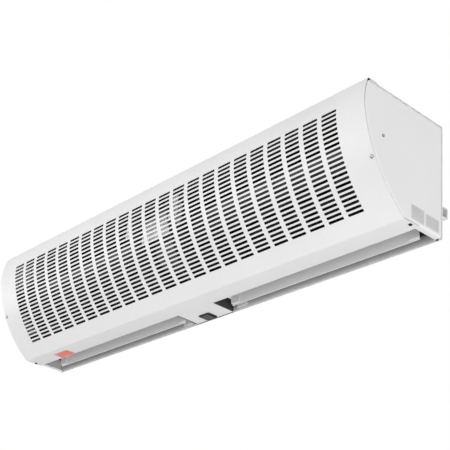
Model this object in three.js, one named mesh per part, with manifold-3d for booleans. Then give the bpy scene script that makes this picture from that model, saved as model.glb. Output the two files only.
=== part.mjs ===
// Wall-hung air curtain with two cross-flow fans and one motor between them.
// Millimetres. +X is to the right seen from the front, +Y towards the wall, +Z up.
// Pieces are laid out from the casing: X = 0 at its middle, Y = 0 at its back, Z = 0 at its
// underside. The whole assembly is then placed with its origin on the back of the wall rail.

import * as THREE from "three";
import { mergeVertices } from "three/addons/utils/BufferGeometryUtils.js";
import Module from "manifold-3d";

const wasm = await Module();
wasm.setup();

// ---- driving dimensions ----

// casing
const length = 900; // side to side
const height = 178; // underside to top
const topDepth = 155; // back to the top front edge
const browLean = 21; // forward lean of the cover at its top edge, degrees
const browRadius = 95; // cover's upper arc
const browSweep = 32.5; // turn of the upper arc, degrees
const footDepth = 77.6; // back to the foot of the cover's lower arc
const sheet = 1.2; // casing sheet thickness
const gap = 0.3; // assembly gap between pieces that touch
const lipWidth = 33; // flat lip of the cover, in front of the outlets
const lipReturn = 9; // height of the turned-up edge of the lip
const topFlange = 18; // cover's flange over the top of the shell
const topStep = 4; // cover's top edge to the shell's front end
const sideFlange = 10; // inward flange of a side plate
const lipNotch = 6; // turned-up edge stops short of the side flange

// grille
const slotLength = 27;
const slotHeight = 3.9;
const slotPitch = 35.15;
const rowPitch = 6.77;
const firstRow = 34.8; // top edge to the middle of the first row, along the cover
const endMargin = 45; // least plain width at each end
const footMargin = 28; // least plain width under the last row, along the cover
const plainStep = 7; // longest facet where the cover has no slots

// motor bay and switch panel
const bayCentre = -5; // middle of the bay, from the casing's middle
const bayWidth = 88; // outside of one bay plate to outside of the other
const bayFoot = 12; // fixing foot of a bay plate
const bayFootLength = 60;
const panelOverlap = 26; // switch panel's reach over the lip
const panelFlange = 12;

// fans
const fanRadius = 50;
const bladeCount = 24;
const bladeWidth = 10; // along the radius
const bladeThickness = 0.8;
const bladeSweep = 11; // forward lean of a blade, degrees
const bladeInset = 0.8; // blade's tip inside the rim of the discs
const discThickness = 2;
const discLedge = 3; // middle disc's inner edge inside the blades
const scrollSheet = 1;
const rearPassage = 17.2; // scroll to fan, behind the fan
const frontPassage = 6; // scroll to fan, where the scroll ends
const scrollSweep = 130; // degrees from the rear, over the top
const scrollStep = 10; // degrees of one facet
const headroom = 12; // scroll to the shell's top
const stabiliserGap = 5; // fan to the stabiliser's crest
const stabiliserFoot = 20;
const uprightShare = 0.5; // stabiliser's upright, as a share of its crest's height
const slopeShare = 0.84; // where its slope flattens, as a share of that height
const noseReach = 12; // stabiliser's nose in front of its crest
const noseDrop = 1.5;
const tailReach = 18; // its turned-down end in front of the crest
const tailDrop = 9;
const fanInset = 15; // bay plate to fan
const bearingSpace = 25; // fan to side plate

// shafts, hubs and bearings
const shaftRadius = 4;
const hubRadius = 15;
const rubberFlange = 3; // a rubber ring's flange: its reach over the hole's edge
const rubberThickness = 3;
const bearingRadius = 8;
const bearingRubber = 6; // rubber between bush and bracket
const bearingLength = 8;
const stubFlangeRadius = 12;
const stubEnd = 1; // journal's end beyond its bush
const bracketHeight = 42; // bearing bracket
const bracketFoot = 22;
const bracketEndGap = 3; // rear foot to the side plate's flange
const bracketStand = 14; // web of the bracket to the side plate

// motor
const motorRadius = 46;
const canWall = 1.5;
const canLength = 56;
const bossRadius = 18;
const motorRubber = 5; // rubber between boss and bay plate
const domeLength = 9; // length of an end bell's dome
const bellRim = 2.7; // upright part of its rim
const bellHip = 6.75; // rim to the dome's hip
const bellHipRadius = 39.6;
const bellFlat = 6; // flat ring round its boss
const bellWall = 2;
const rotorCoreRadius = 26;
const coreLength = 44;
const airGap = 0.6;

// vanes
const vaneChord = 36;
const hemHeight = 3;
const vanePivotHeight = 20;
const vaneSetback = 16; // scroll's face to the vane's pivot
const vaneLean = 9; // lower edge towards the wall, degrees
const vaneInset = 14; // bay plate to vane
const vaneEndSpace = 25; // vane to side plate
const clipWidth = 17;
const pinRadius = 2;
const pinLength = 5;
const earHeight = 12; // vane bracket's ear
const bracketBase = 22; // vane bracket's base, along the scroll
const bracketLow = 5; // level of the lower end of the ones beside the motor bay

// switch
const switchX = -8.4; // middle of the switch
const switchSetback = 14.1; // middle of the switch to the back of the casing
const bezelLength = 24.7;
const bezelWidth = 19.7;
const bezelThickness = 1.8;
const bezelLedge = 1.2; // bezel's overlap on the panel
const switchWall = 1.1;
const switchDepth = 22; // switch body above the bezel
const rockerPocket = 8;
const rockerPivot = 2; // pivot line above the bezel's face
const rockerCrest = 3.2; // rocker's ends below its pivot line
const rockerDip = 2.2; // rocker's middle below its pivot line
const rockerTop = 3.4; // rocker above its pivot line
const rockerTopLength = 14;
const rockerFacets = 8; // across its hollowed face

// wiring
const terminalX = 0; // middle of the terminal block
const terminalLength = 46;
const terminalWidth = 16;
const terminalHeight = 15;
const terminalSpace = 20; // terminal block to the switch behind it
const terminalWays = 5;
const wayWidth = 6;
const wayShare = 0.55; // solid part of the block behind and below a way
const leadRadius = 2;
const leadLevel = 4; // switch lead's start above the block's underside
const leadStraight = 6; // its straight start
const leadRise = 13; // its climb in front of the switch
const leadLoop = 9; // its loop over the switch
const leadFootShare = 0.2; // motor lead's straight start, as a share of its rise
const leadKneeShare = 0.6; // middle of its bend
const leadHeadShare = 0.15; // its straight end
const leadSteps = 14;
const capacitorRadius = 13;
const capacitorLength = 48;
const capacitorSpace = 2; // capacitor to the terminal block behind it
const capacitorLift = 3; // above the switch panel
const studRadius = 3;
const studEnd = 1; // stud beyond its nut
const nutRadius = 6;
const nutThickness = 4;
const grommetX = 24;
const grommetHeight = 17; // middle of the grommet above the underside
const grommetBore = 5;
const grommetWall = 3;

// wall fixings
const railDepth = 11; // casing to wall
const railBottom = 35;
const railHeight = 16;
const railHoleInset = 150; // from the end of the casing
const hangerInset = 200; // middle of a hanger, from the end of the casing
const hangerWidth = 60;
const hangerHook = 8; // height of the hook inside the shell
const hangerDepth = 25; // hook's arm below the top inside the shell
const hangerDrop = 38; // wall plate below the arm
const hangerHoleX = 18; // each way from the hanger's middle
const hangerHoleDrop = 20; // below the arm
const wallHoleRadius = 3;

// screws
const screwRadius = 1.5;
const screwHeadRadius = 2.8;
const smallHeadRadius = 2.3; // screws in the lip and the sides
const screwHeadHeight = 1.8;
const screwEdgeShare = 0.45; // upright edge of the head, as a share of its height
const screwCrownShare = 0.62; // flat crown, as a share of the head's radius
const screwLength = 7;
const screwInset = 5.5; // from the end of the casing
const frontScrewArc = 117; // from the top edge, along the cover
const lipScrewInset = 15; // in front of the lip's edge
const topScrewInset = 9; // behind the cover's top edge
const topScrewEnd = 120; // from the end of the casing

// cutting tools
const drillLength = 20;
const overshoot = 5; // how far a tool reaches past what it cuts

// facets round a circle
const roundSides = 12;
const drumSides = 20;
const holeSides = 12;
const smallSides = 8;

// ---- values worked out from them ----

const radians = THREE.MathUtils.degToRad;
const halfLength = length / 2;
const sideInner = halfLength - sheet; // inner face of a side plate
const seam = sheet + gap; // one sheet and the gap to the next piece
const shellTop = height - seam; // top face of the rear shell
const innerTop = shellTop - seam; // highest level of what is inside the shell
const lean = radians(browLean);
const waistLean = radians(browLean - browSweep);
const browArc = browRadius * radians(browSweep);
const waist = advance(-topDepth, height, lean, browRadius, browArc);
const chord = point(-footDepth, 0).sub(waist);
const footLean = 2 * Math.atan2(-chord.x, -chord.y) - waistLean;
const bellyRadius = chord.length() / (2 * Math.sin((waistLean - footLean) / 2));
const coverArc = browArc + bellyRadius * (waistLean - footLean);
const rows = Math.floor((coverArc - firstRow - footMargin) / rowPitch) + 1;
const columns = Math.floor((length - 2 * endMargin - slotLength) / slotPitch) + 1;
const lipEdge = lipWidth - footDepth; // front edge of the outlets
const scrollFace = -seam - scrollSheet; // front face of the scroll, low down
const scrollRear = fanRadius + rearPassage + scrollSheet; // scroll's back, from the fan axis
const scrollEnd = fanRadius + frontPassage + scrollSheet;
const scrollCrown = THREE.MathUtils.lerp(scrollRear, scrollEnd, 90 / scrollSweep);
const axisY = -seam - scrollRear;
const axisZ = innerTop - headroom - scrollCrown;
const ductEnd = halfLength - sideFlange - gap; // outer end of scroll and stabiliser
const vaneY = scrollFace - vaneSetback;
const panelFront = lipEdge - panelOverlap;
const hubSeat = discThickness / 2 + gap + rubberThickness; // half length of a hub
const motorRingHalf = sheet / 2 + gap + rubberThickness; // half length of a motor ring
const hangerTop = innerTop - hangerDepth; // top face of the hook's arm
const hangerX = halfLength - hangerInset;

const alongXAxis = new THREE.Vector3(1, 0, 0);
const alongYAxis = new THREE.Vector3(0, 1, 0);
const alongZAxis = new THREE.Vector3(0, 0, 1);

// The two ends of the object: the bay plate's outer face, and the fan between both plates.
const sides = [
  { word: "left", sign: -1, near: bayCentre - bayWidth / 2 },
  { word: "right", sign: 1, near: bayCentre + bayWidth / 2 },
].map((side) => {
  const { sign, near } = side;
  return {
    ...side,
    plateInside: near - sign * sheet,
    fanNear: near + sign * fanInset,
    fanFar: sign * (sideInner - bearingSpace),
    vaneNear: near + sign * vaneInset,
    vaneFar: sign * (sideInner - vaneEndSpace),
    outward: new THREE.Vector3(sign, 0, 0),
  };
});

// ---- finishes ----

const finishes = {
  whitePaint: { color: 0xe4e6e5, roughness: 0.45, metalness: 0 },
  galvanised: { color: 0xb9bcbe, roughness: 0.4, metalness: 0.9 },
  aluminium: { color: 0xc4c7c9, roughness: 0.35, metalness: 0.9 },
  steel: { color: 0x9a9da0, roughness: 0.3, metalness: 1 },
  coreSteel: { color: 0x5c5f63, roughness: 0.5, metalness: 0.8 },
  bronze: { color: 0xa9814f, roughness: 0.4, metalness: 0.9 },
  blackRubber: { color: 0x1c1c1d, roughness: 0.9, metalness: 0 },
  blackPlastic: { color: 0x161718, roughness: 0.4, metalness: 0 },
  greyPlastic: { color: 0x55585b, roughness: 0.45, metalness: 0 },
  whitePlastic: { color: 0xdcdcd6, roughness: 0.5, metalness: 0 },
  blackScrew: { color: 0x222325, roughness: 0.4, metalness: 0.7 },
};

// ---- plane curves in the casing's cross section: a point holds (Y, Z) ----

function point(first, second) {
  return new THREE.Vector2(first, second);
}

// Where an arc leads that starts at (y, z), leaning forward by angle and turning back.
function advance(y, z, angle, radius, arc) {
  const after = angle - arc / radius;
  return new THREE.Vector2(
    y - radius * (Math.cos(after) - Math.cos(angle)),
    z + radius * (Math.sin(after) - Math.sin(angle)),
  );
}

// The cover's outer face, by its distance from the top front edge.
function pointOnCover(arc) {
  if (arc <= browArc) {
    return advance(-topDepth, height, lean, browRadius, arc);
  }
  return advance(waist.x, waist.y, waistLean, bellyRadius, arc - browArc);
}

function leanOnCover(arc) {
  return arc <= browArc ? lean - arc / browRadius : waistLean - (arc - browArc) / bellyRadius;
}

function evenSteps(from, to, longest) {
  const count = Math.max(1, Math.ceil((to - from) / longest - 1e-6));
  return Array.from({ length: count + 1 }, (_, i) => from + ((to - from) * i) / count);
}

// Distances of the cover's bends, with one flat facet for each row of slots.
function coverStations() {
  const grilleStart = firstRow - rowPitch / 2;
  const grilleEnd = grilleStart + rows * rowPitch;
  return [
    ...evenSteps(0, grilleStart, plainStep),
    ...Array.from({ length: rows - 1 }, (_, i) => grilleStart + (i + 1) * rowPitch),
    ...evenSteps(grilleEnd, coverArc, plainStep),
  ];
}

function heading(from, to) {
  return to.clone().sub(from).normalize();
}

// Moves an open path to its left, with mitred corners.
function offsetPath(path, distance) {
  return path.map((corner, i) => {
    const before = i > 0 ? heading(path[i - 1], corner) : heading(corner, path[1]);
    const after = i < path.length - 1 ? heading(corner, path[i + 1]) : before;
    const middle = before.clone().add(after).normalize();
    const across = point(-middle.y, middle.x);
    const share = across.dot(point(-before.y, before.x));
    return corner.clone().addScaledVector(across, distance / share);
  });
}

// Outline of a bent sheet: the path and its offset to the left.
function sheetOutline(path, thickness) {
  return [...path, ...offsetPath(path, thickness).reverse()];
}

function atLevel(upper, lower, z) {
  return upper.clone().lerp(lower, (upper.y - z) / (upper.y - lower.y));
}

// Outline of the space inside the cover and the shell, set back from each of them.
function casingSection(front, top, rear, bottom) {
  const run = 4 * (front + sheet);
  const curve = offsetPath([-run, ...coverStations(), coverArc + run].map(pointOnCover), front);
  const high = height - top;
  const outline = [];
  for (let i = 1; i < curve.length; i += 1) {
    const [a, b] = [curve[i - 1], curve[i]];
    if (a.y > high && b.y <= high) {
      outline.push(atLevel(a, b, high));
    }
    if (b.y < high && b.y > bottom) {
      outline.push(b);
    }
    if (a.y > bottom && b.y <= bottom) {
      outline.push(atLevel(a, b, bottom));
    }
  }
  return [...outline, point(-rear, bottom), point(-rear, high)];
}

// ---- solids ----

function extrude(outline, depth) {
  return new THREE.ExtrudeGeometry(new THREE.Shape(outline), { depth, bevelEnabled: false });
}

// Extrudes a (Y, Z) outline along X, between two places given in either order.
function alongX(outline, x, otherX) {
  const turn = new THREE.Matrix4().makeBasis(alongYAxis, alongZAxis, alongXAxis);
  const solid = extrude(outline, Math.abs(otherX - x)).applyMatrix4(turn);
  return solid.translate(Math.min(x, otherX), 0, 0);
}

// Extrudes an (X, Z) outline along Y, centred on Y = 0.
function acrossY(outline, width) {
  const turn = new THREE.Matrix4().makeRotationX(Math.PI / 2);
  return extrude(outline, width).applyMatrix4(turn).translate(0, width / 2, 0);
}

function block(x, otherX, y, otherY, z, otherZ) {
  const size = [Math.abs(otherX - x), Math.abs(otherY - y), Math.abs(otherZ - z)];
  const middle = [(x + otherX) / 2, (y + otherY) / 2, (z + otherZ) / 2];
  return new THREE.BoxGeometry(...size).translate(...middle);
}

// Turns a profile of (radius, place along the axis) about a direction.
function turned(profile, direction = alongXAxis, segments = roundSides) {
  const closed = profile[0].x > 0 ? [...profile, profile[0].clone()] : profile;
  const swing = new THREE.Quaternion().setFromUnitVectors(alongYAxis, direction);
  return new THREE.LatheGeometry(closed, segments).applyQuaternion(swing);
}

// A ring about X; its two places on X come in either order.
function ring(outer, inner, x, otherX, segments = roundSides) {
  const [from, to] = [Math.min(x, otherX), Math.max(x, otherX)];
  const profile = [point(inner, from), point(outer, from), point(outer, to), point(inner, to)];
  return turned(profile, alongXAxis, segments);
}

function rod(radius, x, otherX, segments = holeSides) {
  return ring(radius, 0, x, otherX, segments);
}

// A round tool for holes, centred on a spot and turned to a direction.
function drill(radius, spot, direction, depth = drillLength) {
  const turn = new THREE.Quaternion().setFromUnitVectors(alongYAxis, direction);
  const tool = new THREE.CylinderGeometry(radius, radius, depth, holeSides);
  return tool.applyQuaternion(turn).translate(...spot);
}

function toSolid(geometry) {
  const bare = geometry.clone();
  bare.deleteAttribute("normal");
  bare.deleteAttribute("uv");
  const merged = mergeVertices(bare, 1e-4);
  return new wasm.Manifold(
    new wasm.Mesh({
      numProp: 3,
      vertProperties: new Float32Array(merged.attributes.position.array),
      triVerts: new Uint32Array(merged.index.array),
    }),
  );
}

function toGeometry(solid) {
  const mesh = solid.getMesh();
  const geometry = new THREE.BufferGeometry();
  geometry.setAttribute("position", new THREE.BufferAttribute(mesh.vertProperties, 3));
  geometry.setIndex(new THREE.BufferAttribute(mesh.triVerts, 1));
  geometry.computeVertexNormals();
  return geometry;
}

function cut(geometry, tools) {
  return toGeometry(toSolid(geometry).subtract(wasm.Manifold.union(tools.map(toSolid))));
}

function join(geometries) {
  return toGeometry(wasm.Manifold.union(geometries.map(toSolid)));
}

// ---- placing ----

const casing = new THREE.Group();

function add(name, geometry, finish, x = 0, y = 0, z = 0) {
  const mesh = new THREE.Mesh(geometry, new THREE.MeshStandardMaterial(finishes[finish]));
  mesh.name = name;
  mesh.position.set(x, y, z);
  casing.add(mesh);
  return mesh;
}

// Adds a piece that was made about the X axis, on the fan axis.
function addOnAxis(name, geometry, finish) {
  return add(name, geometry, finish, 0, axisY, axisZ);
}

// ---- screws and their holes ----

function panScrew(headRadius) {
  return new THREE.LatheGeometry(
    [
      point(0, -screwLength),
      point(screwRadius, -screwLength),
      point(screwRadius, 0),
      point(headRadius, 0),
      point(headRadius, screwHeadHeight * screwEdgeShare),
      point(headRadius * screwCrownShare, screwHeadHeight),
      point(0, screwHeadHeight),
    ],
    smallSides,
  );
}

// Each screw's place on the outer face, and the way out of it.
function coverScrews(sign) {
  const front = pointOnCover(frontScrewArc);
  const angle = leanOnCover(frontScrewArc);
  const x = sign * (halfLength - screwInset);
  const topScrewX = halfLength - topScrewEnd;
  return [
    {
      name: "cover_screw_front",
      spot: new THREE.Vector3(x, front.x, front.y),
      out: new THREE.Vector3(0, -Math.cos(angle), Math.sin(angle)),
      head: screwHeadRadius,
      finish: "steel",
    },
    {
      name: "cover_screw_lip",
      spot: new THREE.Vector3(x, lipEdge - lipScrewInset, 0),
      out: alongZAxis.clone().negate(),
      head: smallHeadRadius,
      finish: "blackScrew",
    },
    {
      name: "cover_screw_top",
      spot: new THREE.Vector3(sign * topScrewX, -topDepth + topScrewInset, height),
      out: alongZAxis,
      head: screwHeadRadius,
      finish: "steel",
    },
  ];
}

function sideScrew(sign) {
  return {
    name: "side_screw",
    spot: new THREE.Vector3(sign * halfLength, bracketFront + bracketFoot / 2, axisZ),
    out: new THREE.Vector3(sign, 0, 0),
    head: smallHeadRadius,
    finish: "blackScrew",
  };
}

function screwHole({ spot, out }) {
  return drill(screwRadius + gap, spot, out);
}

function addScrew({ name, spot, out, head, finish }, word) {
  const mesh = add(`${name}_${word}`, panScrew(head), finish);
  mesh.position.copy(spot).addScaledVector(out, gap);
  mesh.quaternion.setFromUnitVectors(alongYAxis, out);
}

// ---- casing ----

function slotTools() {
  const tools = [];
  for (let row = 0; row < rows; row += 1) {
    const arc = firstRow + row * rowPitch;
    const place = pointOnCover(arc);
    for (let column = 0; column < columns; column += 1) {
      const slot = new THREE.BoxGeometry(slotLength, 2 * overshoot, slotHeight);
      const x = (column - (columns - 1) / 2) * slotPitch;
      tools.push(slot.rotateX(-leanOnCover(arc)).translate(x, place.x, place.y));
    }
  }
  return tools;
}

// The lip's turned-up edge is left out at both ends and across the motor bay.
function lipNotches() {
  const [left, right] = sides;
  const end = ductEnd - lipNotch;
  const spans = [
    [-halfLength - overshoot, -end],
    [left.near - gap, right.near + gap],
    [end, halfLength + overshoot],
  ];
  const [back, top] = [lipEdge + overshoot, lipReturn + overshoot];
  return spans.map(([from, to]) => block(from, to, lipEdge - seam, back, -overshoot, top));
}

function frontCover() {
  const path = [
    point(-topDepth + topFlange, height),
    ...coverStations().map(pointOnCover),
    point(lipEdge, 0),
    point(lipEdge, lipReturn),
  ];
  const blank = alongX(sheetOutline(path, sheet), -halfLength, halfLength);
  const screwHoles = sides.flatMap(({ sign }) => coverScrews(sign).map(screwHole));
  return cut(blank, [...slotTools(), ...lipNotches(), ...screwHoles]);
}

function hangerSlot(sign) {
  const reach = hangerWidth / 2 + 1;
  const x = sign * hangerX;
  const low = hangerTop - hangerHook - 2 * sheet;
  return block(x - reach, x + reach, -overshoot, overshoot, low, hangerTop + gap);
}

// Back and top in one sheet, with slots for the hangers and a hole for the cable grommet.
function rearShell() {
  const frontEnd = -topDepth + topStep;
  const path = [point(0, 0), point(0, shellTop), point(frontEnd, shellTop)];
  const blank = alongX(sheetOutline(path, sheet), -halfLength, halfLength);
  const grommetSpot = new THREE.Vector3(grommetX, 0, grommetHeight);
  return cut(blank, [
    drill(grommetBore + grommetWall + gap, grommetSpot, alongYAxis),
    ...sides.map(({ sign }) => hangerSlot(sign)),
    ...sides.flatMap(({ sign }) => coverScrews(sign).map(screwHole)),
  ]);
}

// A flat plate with a flange all round, turned inwards.
function sidePlate(sign) {
  const top = height - innerTop;
  const plate = casingSection(seam, top, seam, seam);
  const hollow = casingSection(seam + sheet, top + sheet, seam + sheet, seam + sheet);
  const tray = alongX(plate, sign * halfLength, sign * (halfLength - sideFlange));
  const pocket = alongX(hollow, sign * sideInner, sign * (halfLength - sideFlange - overshoot));
  return cut(tray, [pocket, ...[...coverScrews(sign), sideScrew(sign)].map(screwHole)]);
}

// ---- fan ducts ----

// Straight up the back, then a spiral over the fan that closes towards the front.
function scroll({ near, sign }) {
  const spiral = evenSteps(0, scrollSweep, scrollStep).map((turn) => {
    const radius = THREE.MathUtils.lerp(scrollRear, scrollEnd, turn / scrollSweep);
    const angle = radians(turn);
    return point(axisY + radius * Math.cos(angle), axisZ + radius * Math.sin(angle));
  });
  const path = [point(-seam, 2 * gap), ...spiral];
  return alongX(sheetOutline(path, scrollSheet), near + sign * gap, sign * ductEnd);
}

// Front wall of the duct: a foot on the lip, an upright, a slope and a crest under the fan.
function stabiliser({ near, sign }) {
  const upright = lipEdge - seam;
  const crest = axisZ - fanRadius - stabiliserGap;
  const path = [
    point(upright - stabiliserFoot, seam),
    point(upright, seam),
    point(upright, crest * uprightShare),
    point((upright + axisY) / 2, crest * slopeShare),
    point(axisY, crest),
    point(axisY - noseReach, crest - noseDrop),
    point(axisY - tailReach, crest - tailDrop),
  ];
  return alongX(sheetOutline(path, scrollSheet), near + sign * gap, sign * ductEnd);
}

// A plate across the casing, with a foot on the shell and a hole for the motor's rubber.
function bayPlate({ near, sign, plateInside }) {
  const outline = casingSection(seam + gap, height - innerTop, seam, seam);
  const blank = alongX(outline, near, plateInside);
  const low = axisZ - bayFootLength / 2;
  const foot = block(near, near - sign * bayFoot, -seam, -seam - sheet, low, low + bayFootLength);
  const through = [near + overshoot, near - overshoot];
  const seat = rod(bossRadius + gap + motorRubber + gap, ...through, drumSides);
  const tools = [seat.translate(0, axisY, axisZ)];
  if (sign < 0) {
    tools.push(rod(studRadius + gap, ...through).translate(0, capacitorY, capacitorZ));
  }
  return cut(join([blank, foot]), tools);
}

// ---- fans: what is on the fan axis is made around X ----

function bladeOutline(index) {
  const inner = radians((360 / bladeCount) * index);
  const outer = inner - radians(bladeSweep);
  const [root, tip] = [fanRadius - bladeWidth, fanRadius - bladeInset];
  const corners = [
    [root, inner],
    [tip, outer],
    [tip, outer + bladeThickness / tip],
    [root, inner + bladeThickness / root],
  ];
  return corners.map(([radius, turn]) => point(radius * Math.cos(turn), radius * Math.sin(turn)));
}

// Discs at both ends and in the middle, joined by the blades.
function impeller({ fanNear, fanFar, sign }) {
  const middle = (fanNear + fanFar) / 2;
  const seat = discThickness / 2;
  const innerEdge = fanRadius - bladeWidth - discLedge;
  const discs = [
    ring(fanRadius, hubRadius + gap, fanNear, fanNear + sign * discThickness, drumSides),
    ring(fanRadius, innerEdge, middle - seat, middle + seat, drumSides),
    ring(fanRadius, shaftRadius + gap, fanFar, fanFar - sign * discThickness, drumSides),
  ];
  const blades = Array.from({ length: bladeCount }, (_, index) => {
    return alongX(bladeOutline(index), fanNear + sign * seat, fanFar - sign * seat);
  });
  return join([...discs, ...blades]);
}

// A rubber ring that grips the edge of a hole in a plate between its two flanges.
function grippingRing(bore, seatRadius, plateThickness, direction, segments) {
  const flange = seatRadius + rubberFlange;
  const inside = plateThickness / 2 + gap;
  const outside = inside + rubberThickness;
  return turned(
    [
      point(bore, -outside),
      point(flange, -outside),
      point(flange, -inside),
      point(seatRadius, -inside),
      point(seatRadius, inside),
      point(flange, inside),
      point(flange, outside),
      point(bore, outside),
    ],
    direction,
    segments,
  );
}

// A flange inside the end disc, and a journal that runs out through it into the bearing.
function stubShaft({ outward }) {
  const disc = sideInner - bearingSpace - discThickness - gap;
  const end = sideInner - bracketStand + bearingLength / 2 + stubEnd;
  return turned(
    [
      point(0, disc - discThickness),
      point(stubFlangeRadius, disc - discThickness),
      point(stubFlangeRadius, disc),
      point(shaftRadius, disc),
      point(shaftRadius, end),
      point(0, end),
    ],
    outward,
  );
}

// ---- bearings ----

const bracketReach = -axisY - seam - sheet - bracketEndGap;
const bracketFront = axisY - bracketReach;
const bracketWeb = sideInner - bracketStand; // outer face of the web
const bearingSeat = bearingRadius + gap + bearingRubber;

// A strap that stands off the side plate on two feet and holds the bearing's rubber.
function bearingBracket(sign) {
  const foot = sideInner - gap;
  const path = [
    point(-bracketReach, foot),
    point(-bracketReach + bracketFoot, foot),
    point(-bracketReach + bracketFoot, bracketWeb),
    point(bracketReach - bracketFoot, bracketWeb),
    point(bracketReach - bracketFoot, foot),
    point(bracketReach, foot),
  ];
  const outline = sheetOutline(path, -sheet).map((p) => point(sign * p.y, p.x + axisY));
  const strap = extrude(outline, bracketHeight).translate(0, 0, axisZ - bracketHeight / 2);
  const through = [sign * (bracketWeb - overshoot), sign * (bracketWeb + overshoot)];
  const seat = rod(bearingSeat + gap, ...through, roundSides);
  return cut(strap, [seat.translate(0, axisY, axisZ), screwHole(sideScrew(sign))]);
}

// ---- motor ----

// A dome on the end of the can, with a boss that sits in the rubber ring.
function endBell({ outward }) {
  const rim = canLength / 2 + gap;
  const shoulder = rim + domeLength;
  const end = bayWidth / 2 - sheet / 2 + motorRingHalf + gap;
  const bore = shaftRadius + gap;
  return turned(
    [
      point(motorRadius - canWall, rim),
      point(motorRadius, rim),
      point(motorRadius, rim + bellRim),
      point(bellHipRadius, rim + bellHip),
      point(bossRadius + bellFlat, shoulder),
      point(bossRadius, shoulder),
      point(bossRadius, end),
      point(bore, end),
      point(bore, shoulder - bellWall),
      point(bossRadius + bellFlat - bellWall, shoulder - bellWall),
      point(bellHipRadius - bellWall, rim + bellHip - bellWall),
    ],
    outward,
    drumSides,
  );
}

// ---- vanes: the blade is made upright about its pivot ----

const vaneFace = sheet / 2 + gap; // clip's back, in front of the pivot plane

function vaneBlade({ vaneNear, vaneFar }) {
  const half = vaneChord / 2;
  const [back, face] = [sheet / 2, -sheet / 2];
  const fold = face - sheet;
  const outline = [
    point(back, -half),
    point(back, half),
    point(fold, half),
    point(fold, half - hemHeight),
    point(face, half - hemHeight),
    point(face, -half + hemHeight),
    point(fold, -half + hemHeight),
    point(fold, -half),
  ];
  return alongX(outline, vaneNear, vaneFar);
}

// A plate on the blade's front, an ear round its end and the pivot pin.
function vaneClip(end, away) {
  const half = vaneChord / 2 - hemHeight - gap;
  const outside = end + away * seam;
  const front = -vaneFace - sheet;
  return join([
    block(end - away * clipWidth, outside, front, -vaneFace, -half, half),
    block(end + away * gap, outside, front, earHeight / 4, -earHeight / 3, earHeight / 3),
    rod(pinRadius, outside - (away * sheet) / 2, outside + away * pinLength, smallSides),
  ]);
}

// An ear with a hole for the pin, and a base on the scroll's face.
function vaneBracket(end, away, low) {
  const inside = end + away * (2 * gap + sheet);
  const outside = inside + away * sheet;
  const back = vaneSetback - gap;
  const half = earHeight / 2;
  const ear = block(inside, outside, -half, back, -half, half);
  const base = block(outside, outside - away * bracketBase, back - sheet, back, low, half);
  const through = [inside - away * overshoot, outside + away * overshoot];
  return cut(join([ear, base]), [rod(pinRadius + gap, ...through)]);
}

// ---- switch and its panel ----

const bodyLength = bezelLength - 2 * bezelLedge;
const bodyWidth = bezelWidth - 2 * bezelLedge;
const pocketLength = bodyLength - 2 * switchWall;
const pocketWidth = bodyWidth - 2 * switchWall;
const bezelFace = sheet - bezelThickness; // the bezel's back lies one gap under the panel
const panelTop = seam + sheet;

function centredBlock(wide, deep, low, high) {
  return block(-wide / 2, wide / 2, -deep / 2, deep / 2, low, high);
}

// A floor between the bay plates with a flange along each of them.
function switchPanel() {
  const [left, right] = sides;
  const from = left.plateInside + gap;
  const to = right.plateInside - gap;
  const flangeTop = seam + panelFlange;
  const hole = centredBlock(bodyLength + 2 * gap, bodyWidth + 2 * gap, 0, 2 * panelTop);
  const blank = join([
    block(from, to, panelFront, -seam, seam, panelTop),
    block(from, from + sheet, panelFront, -seam, seam, flangeTop),
    block(to - sheet, to, panelFront, -seam, seam, flangeTop),
  ]);
  return cut(blank, [hole.translate(switchX, -switchSetback, 0)]);
}

// Made with its bezel's face at Z = 0.
function switchBody() {
  const bezel = centredBlock(bezelLength, bezelWidth, 0, bezelThickness);
  const body = centredBlock(bodyLength, bodyWidth, 0, bezelThickness + switchDepth);
  const pocket = centredBlock(pocketLength, pocketWidth, -overshoot, rockerPocket);
  return cut(join([bezel, body]), [pocket]);
}

// A hollowed face between two crests, made about its pivot line.
function rocker() {
  const reach = pocketLength / 2 - 1.5 * gap;
  const half = Math.sqrt(reach * reach - rockerCrest * rockerCrest);
  const face = evenSteps(-1, 1, 2 / rockerFacets).map((share) => {
    return point(half * share, -THREE.MathUtils.lerp(rockerDip, rockerCrest, share * share));
  });
  const top = rockerTopLength / 2;
  return acrossY([...face, point(top, rockerTop), point(-top, rockerTop)], pocketWidth - 2 * gap);
}

// ---- wiring in the motor bay ----

const terminalFront = -switchSetback - bodyWidth / 2 - terminalSpace - terminalWidth;
const terminalBase = panelTop + gap;
const capacitorY = terminalFront - capacitorSpace - capacitorRadius;
const capacitorZ = panelTop + capacitorLift + capacitorRadius;

function terminalBlock() {
  const [wayBack, wayFloor] = [terminalWidth * wayShare, terminalHeight * wayShare];
  const ways = Array.from({ length: terminalWays }, (_, index) => {
    const x = (index - (terminalWays - 1) / 2) * (terminalLength / terminalWays);
    const [from, to] = [x - wayWidth / 2, x + wayWidth / 2];
    const [back, top] = [terminalWidth + overshoot, terminalHeight + overshoot];
    return block(from, to, wayBack, back, wayFloor, top);
  });
  const half = terminalLength / 2;
  return cut(block(-half, half, 0, terminalWidth, 0, terminalHeight), ways);
}

// A can with a threaded stud at its left end, which is at X = 0.
function capacitor() {
  return turned([
    point(0, -stud()),
    point(studRadius, -stud()),
    point(studRadius, 0),
    point(capacitorRadius, 0),
    point(capacitorRadius, capacitorLength),
    point(0, capacitorLength),
  ]);
}

// Length of the stud: past the panel's flange, through the bay plate and its nut.
function stud() {
  return seam + gap + sheet + gap + nutThickness + studEnd;
}

function nut() {
  const bore = (studRadius + gap) / Math.cos(Math.PI / 6);
  return ring(nutRadius, bore, 0, -nutThickness, 6);
}

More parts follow.
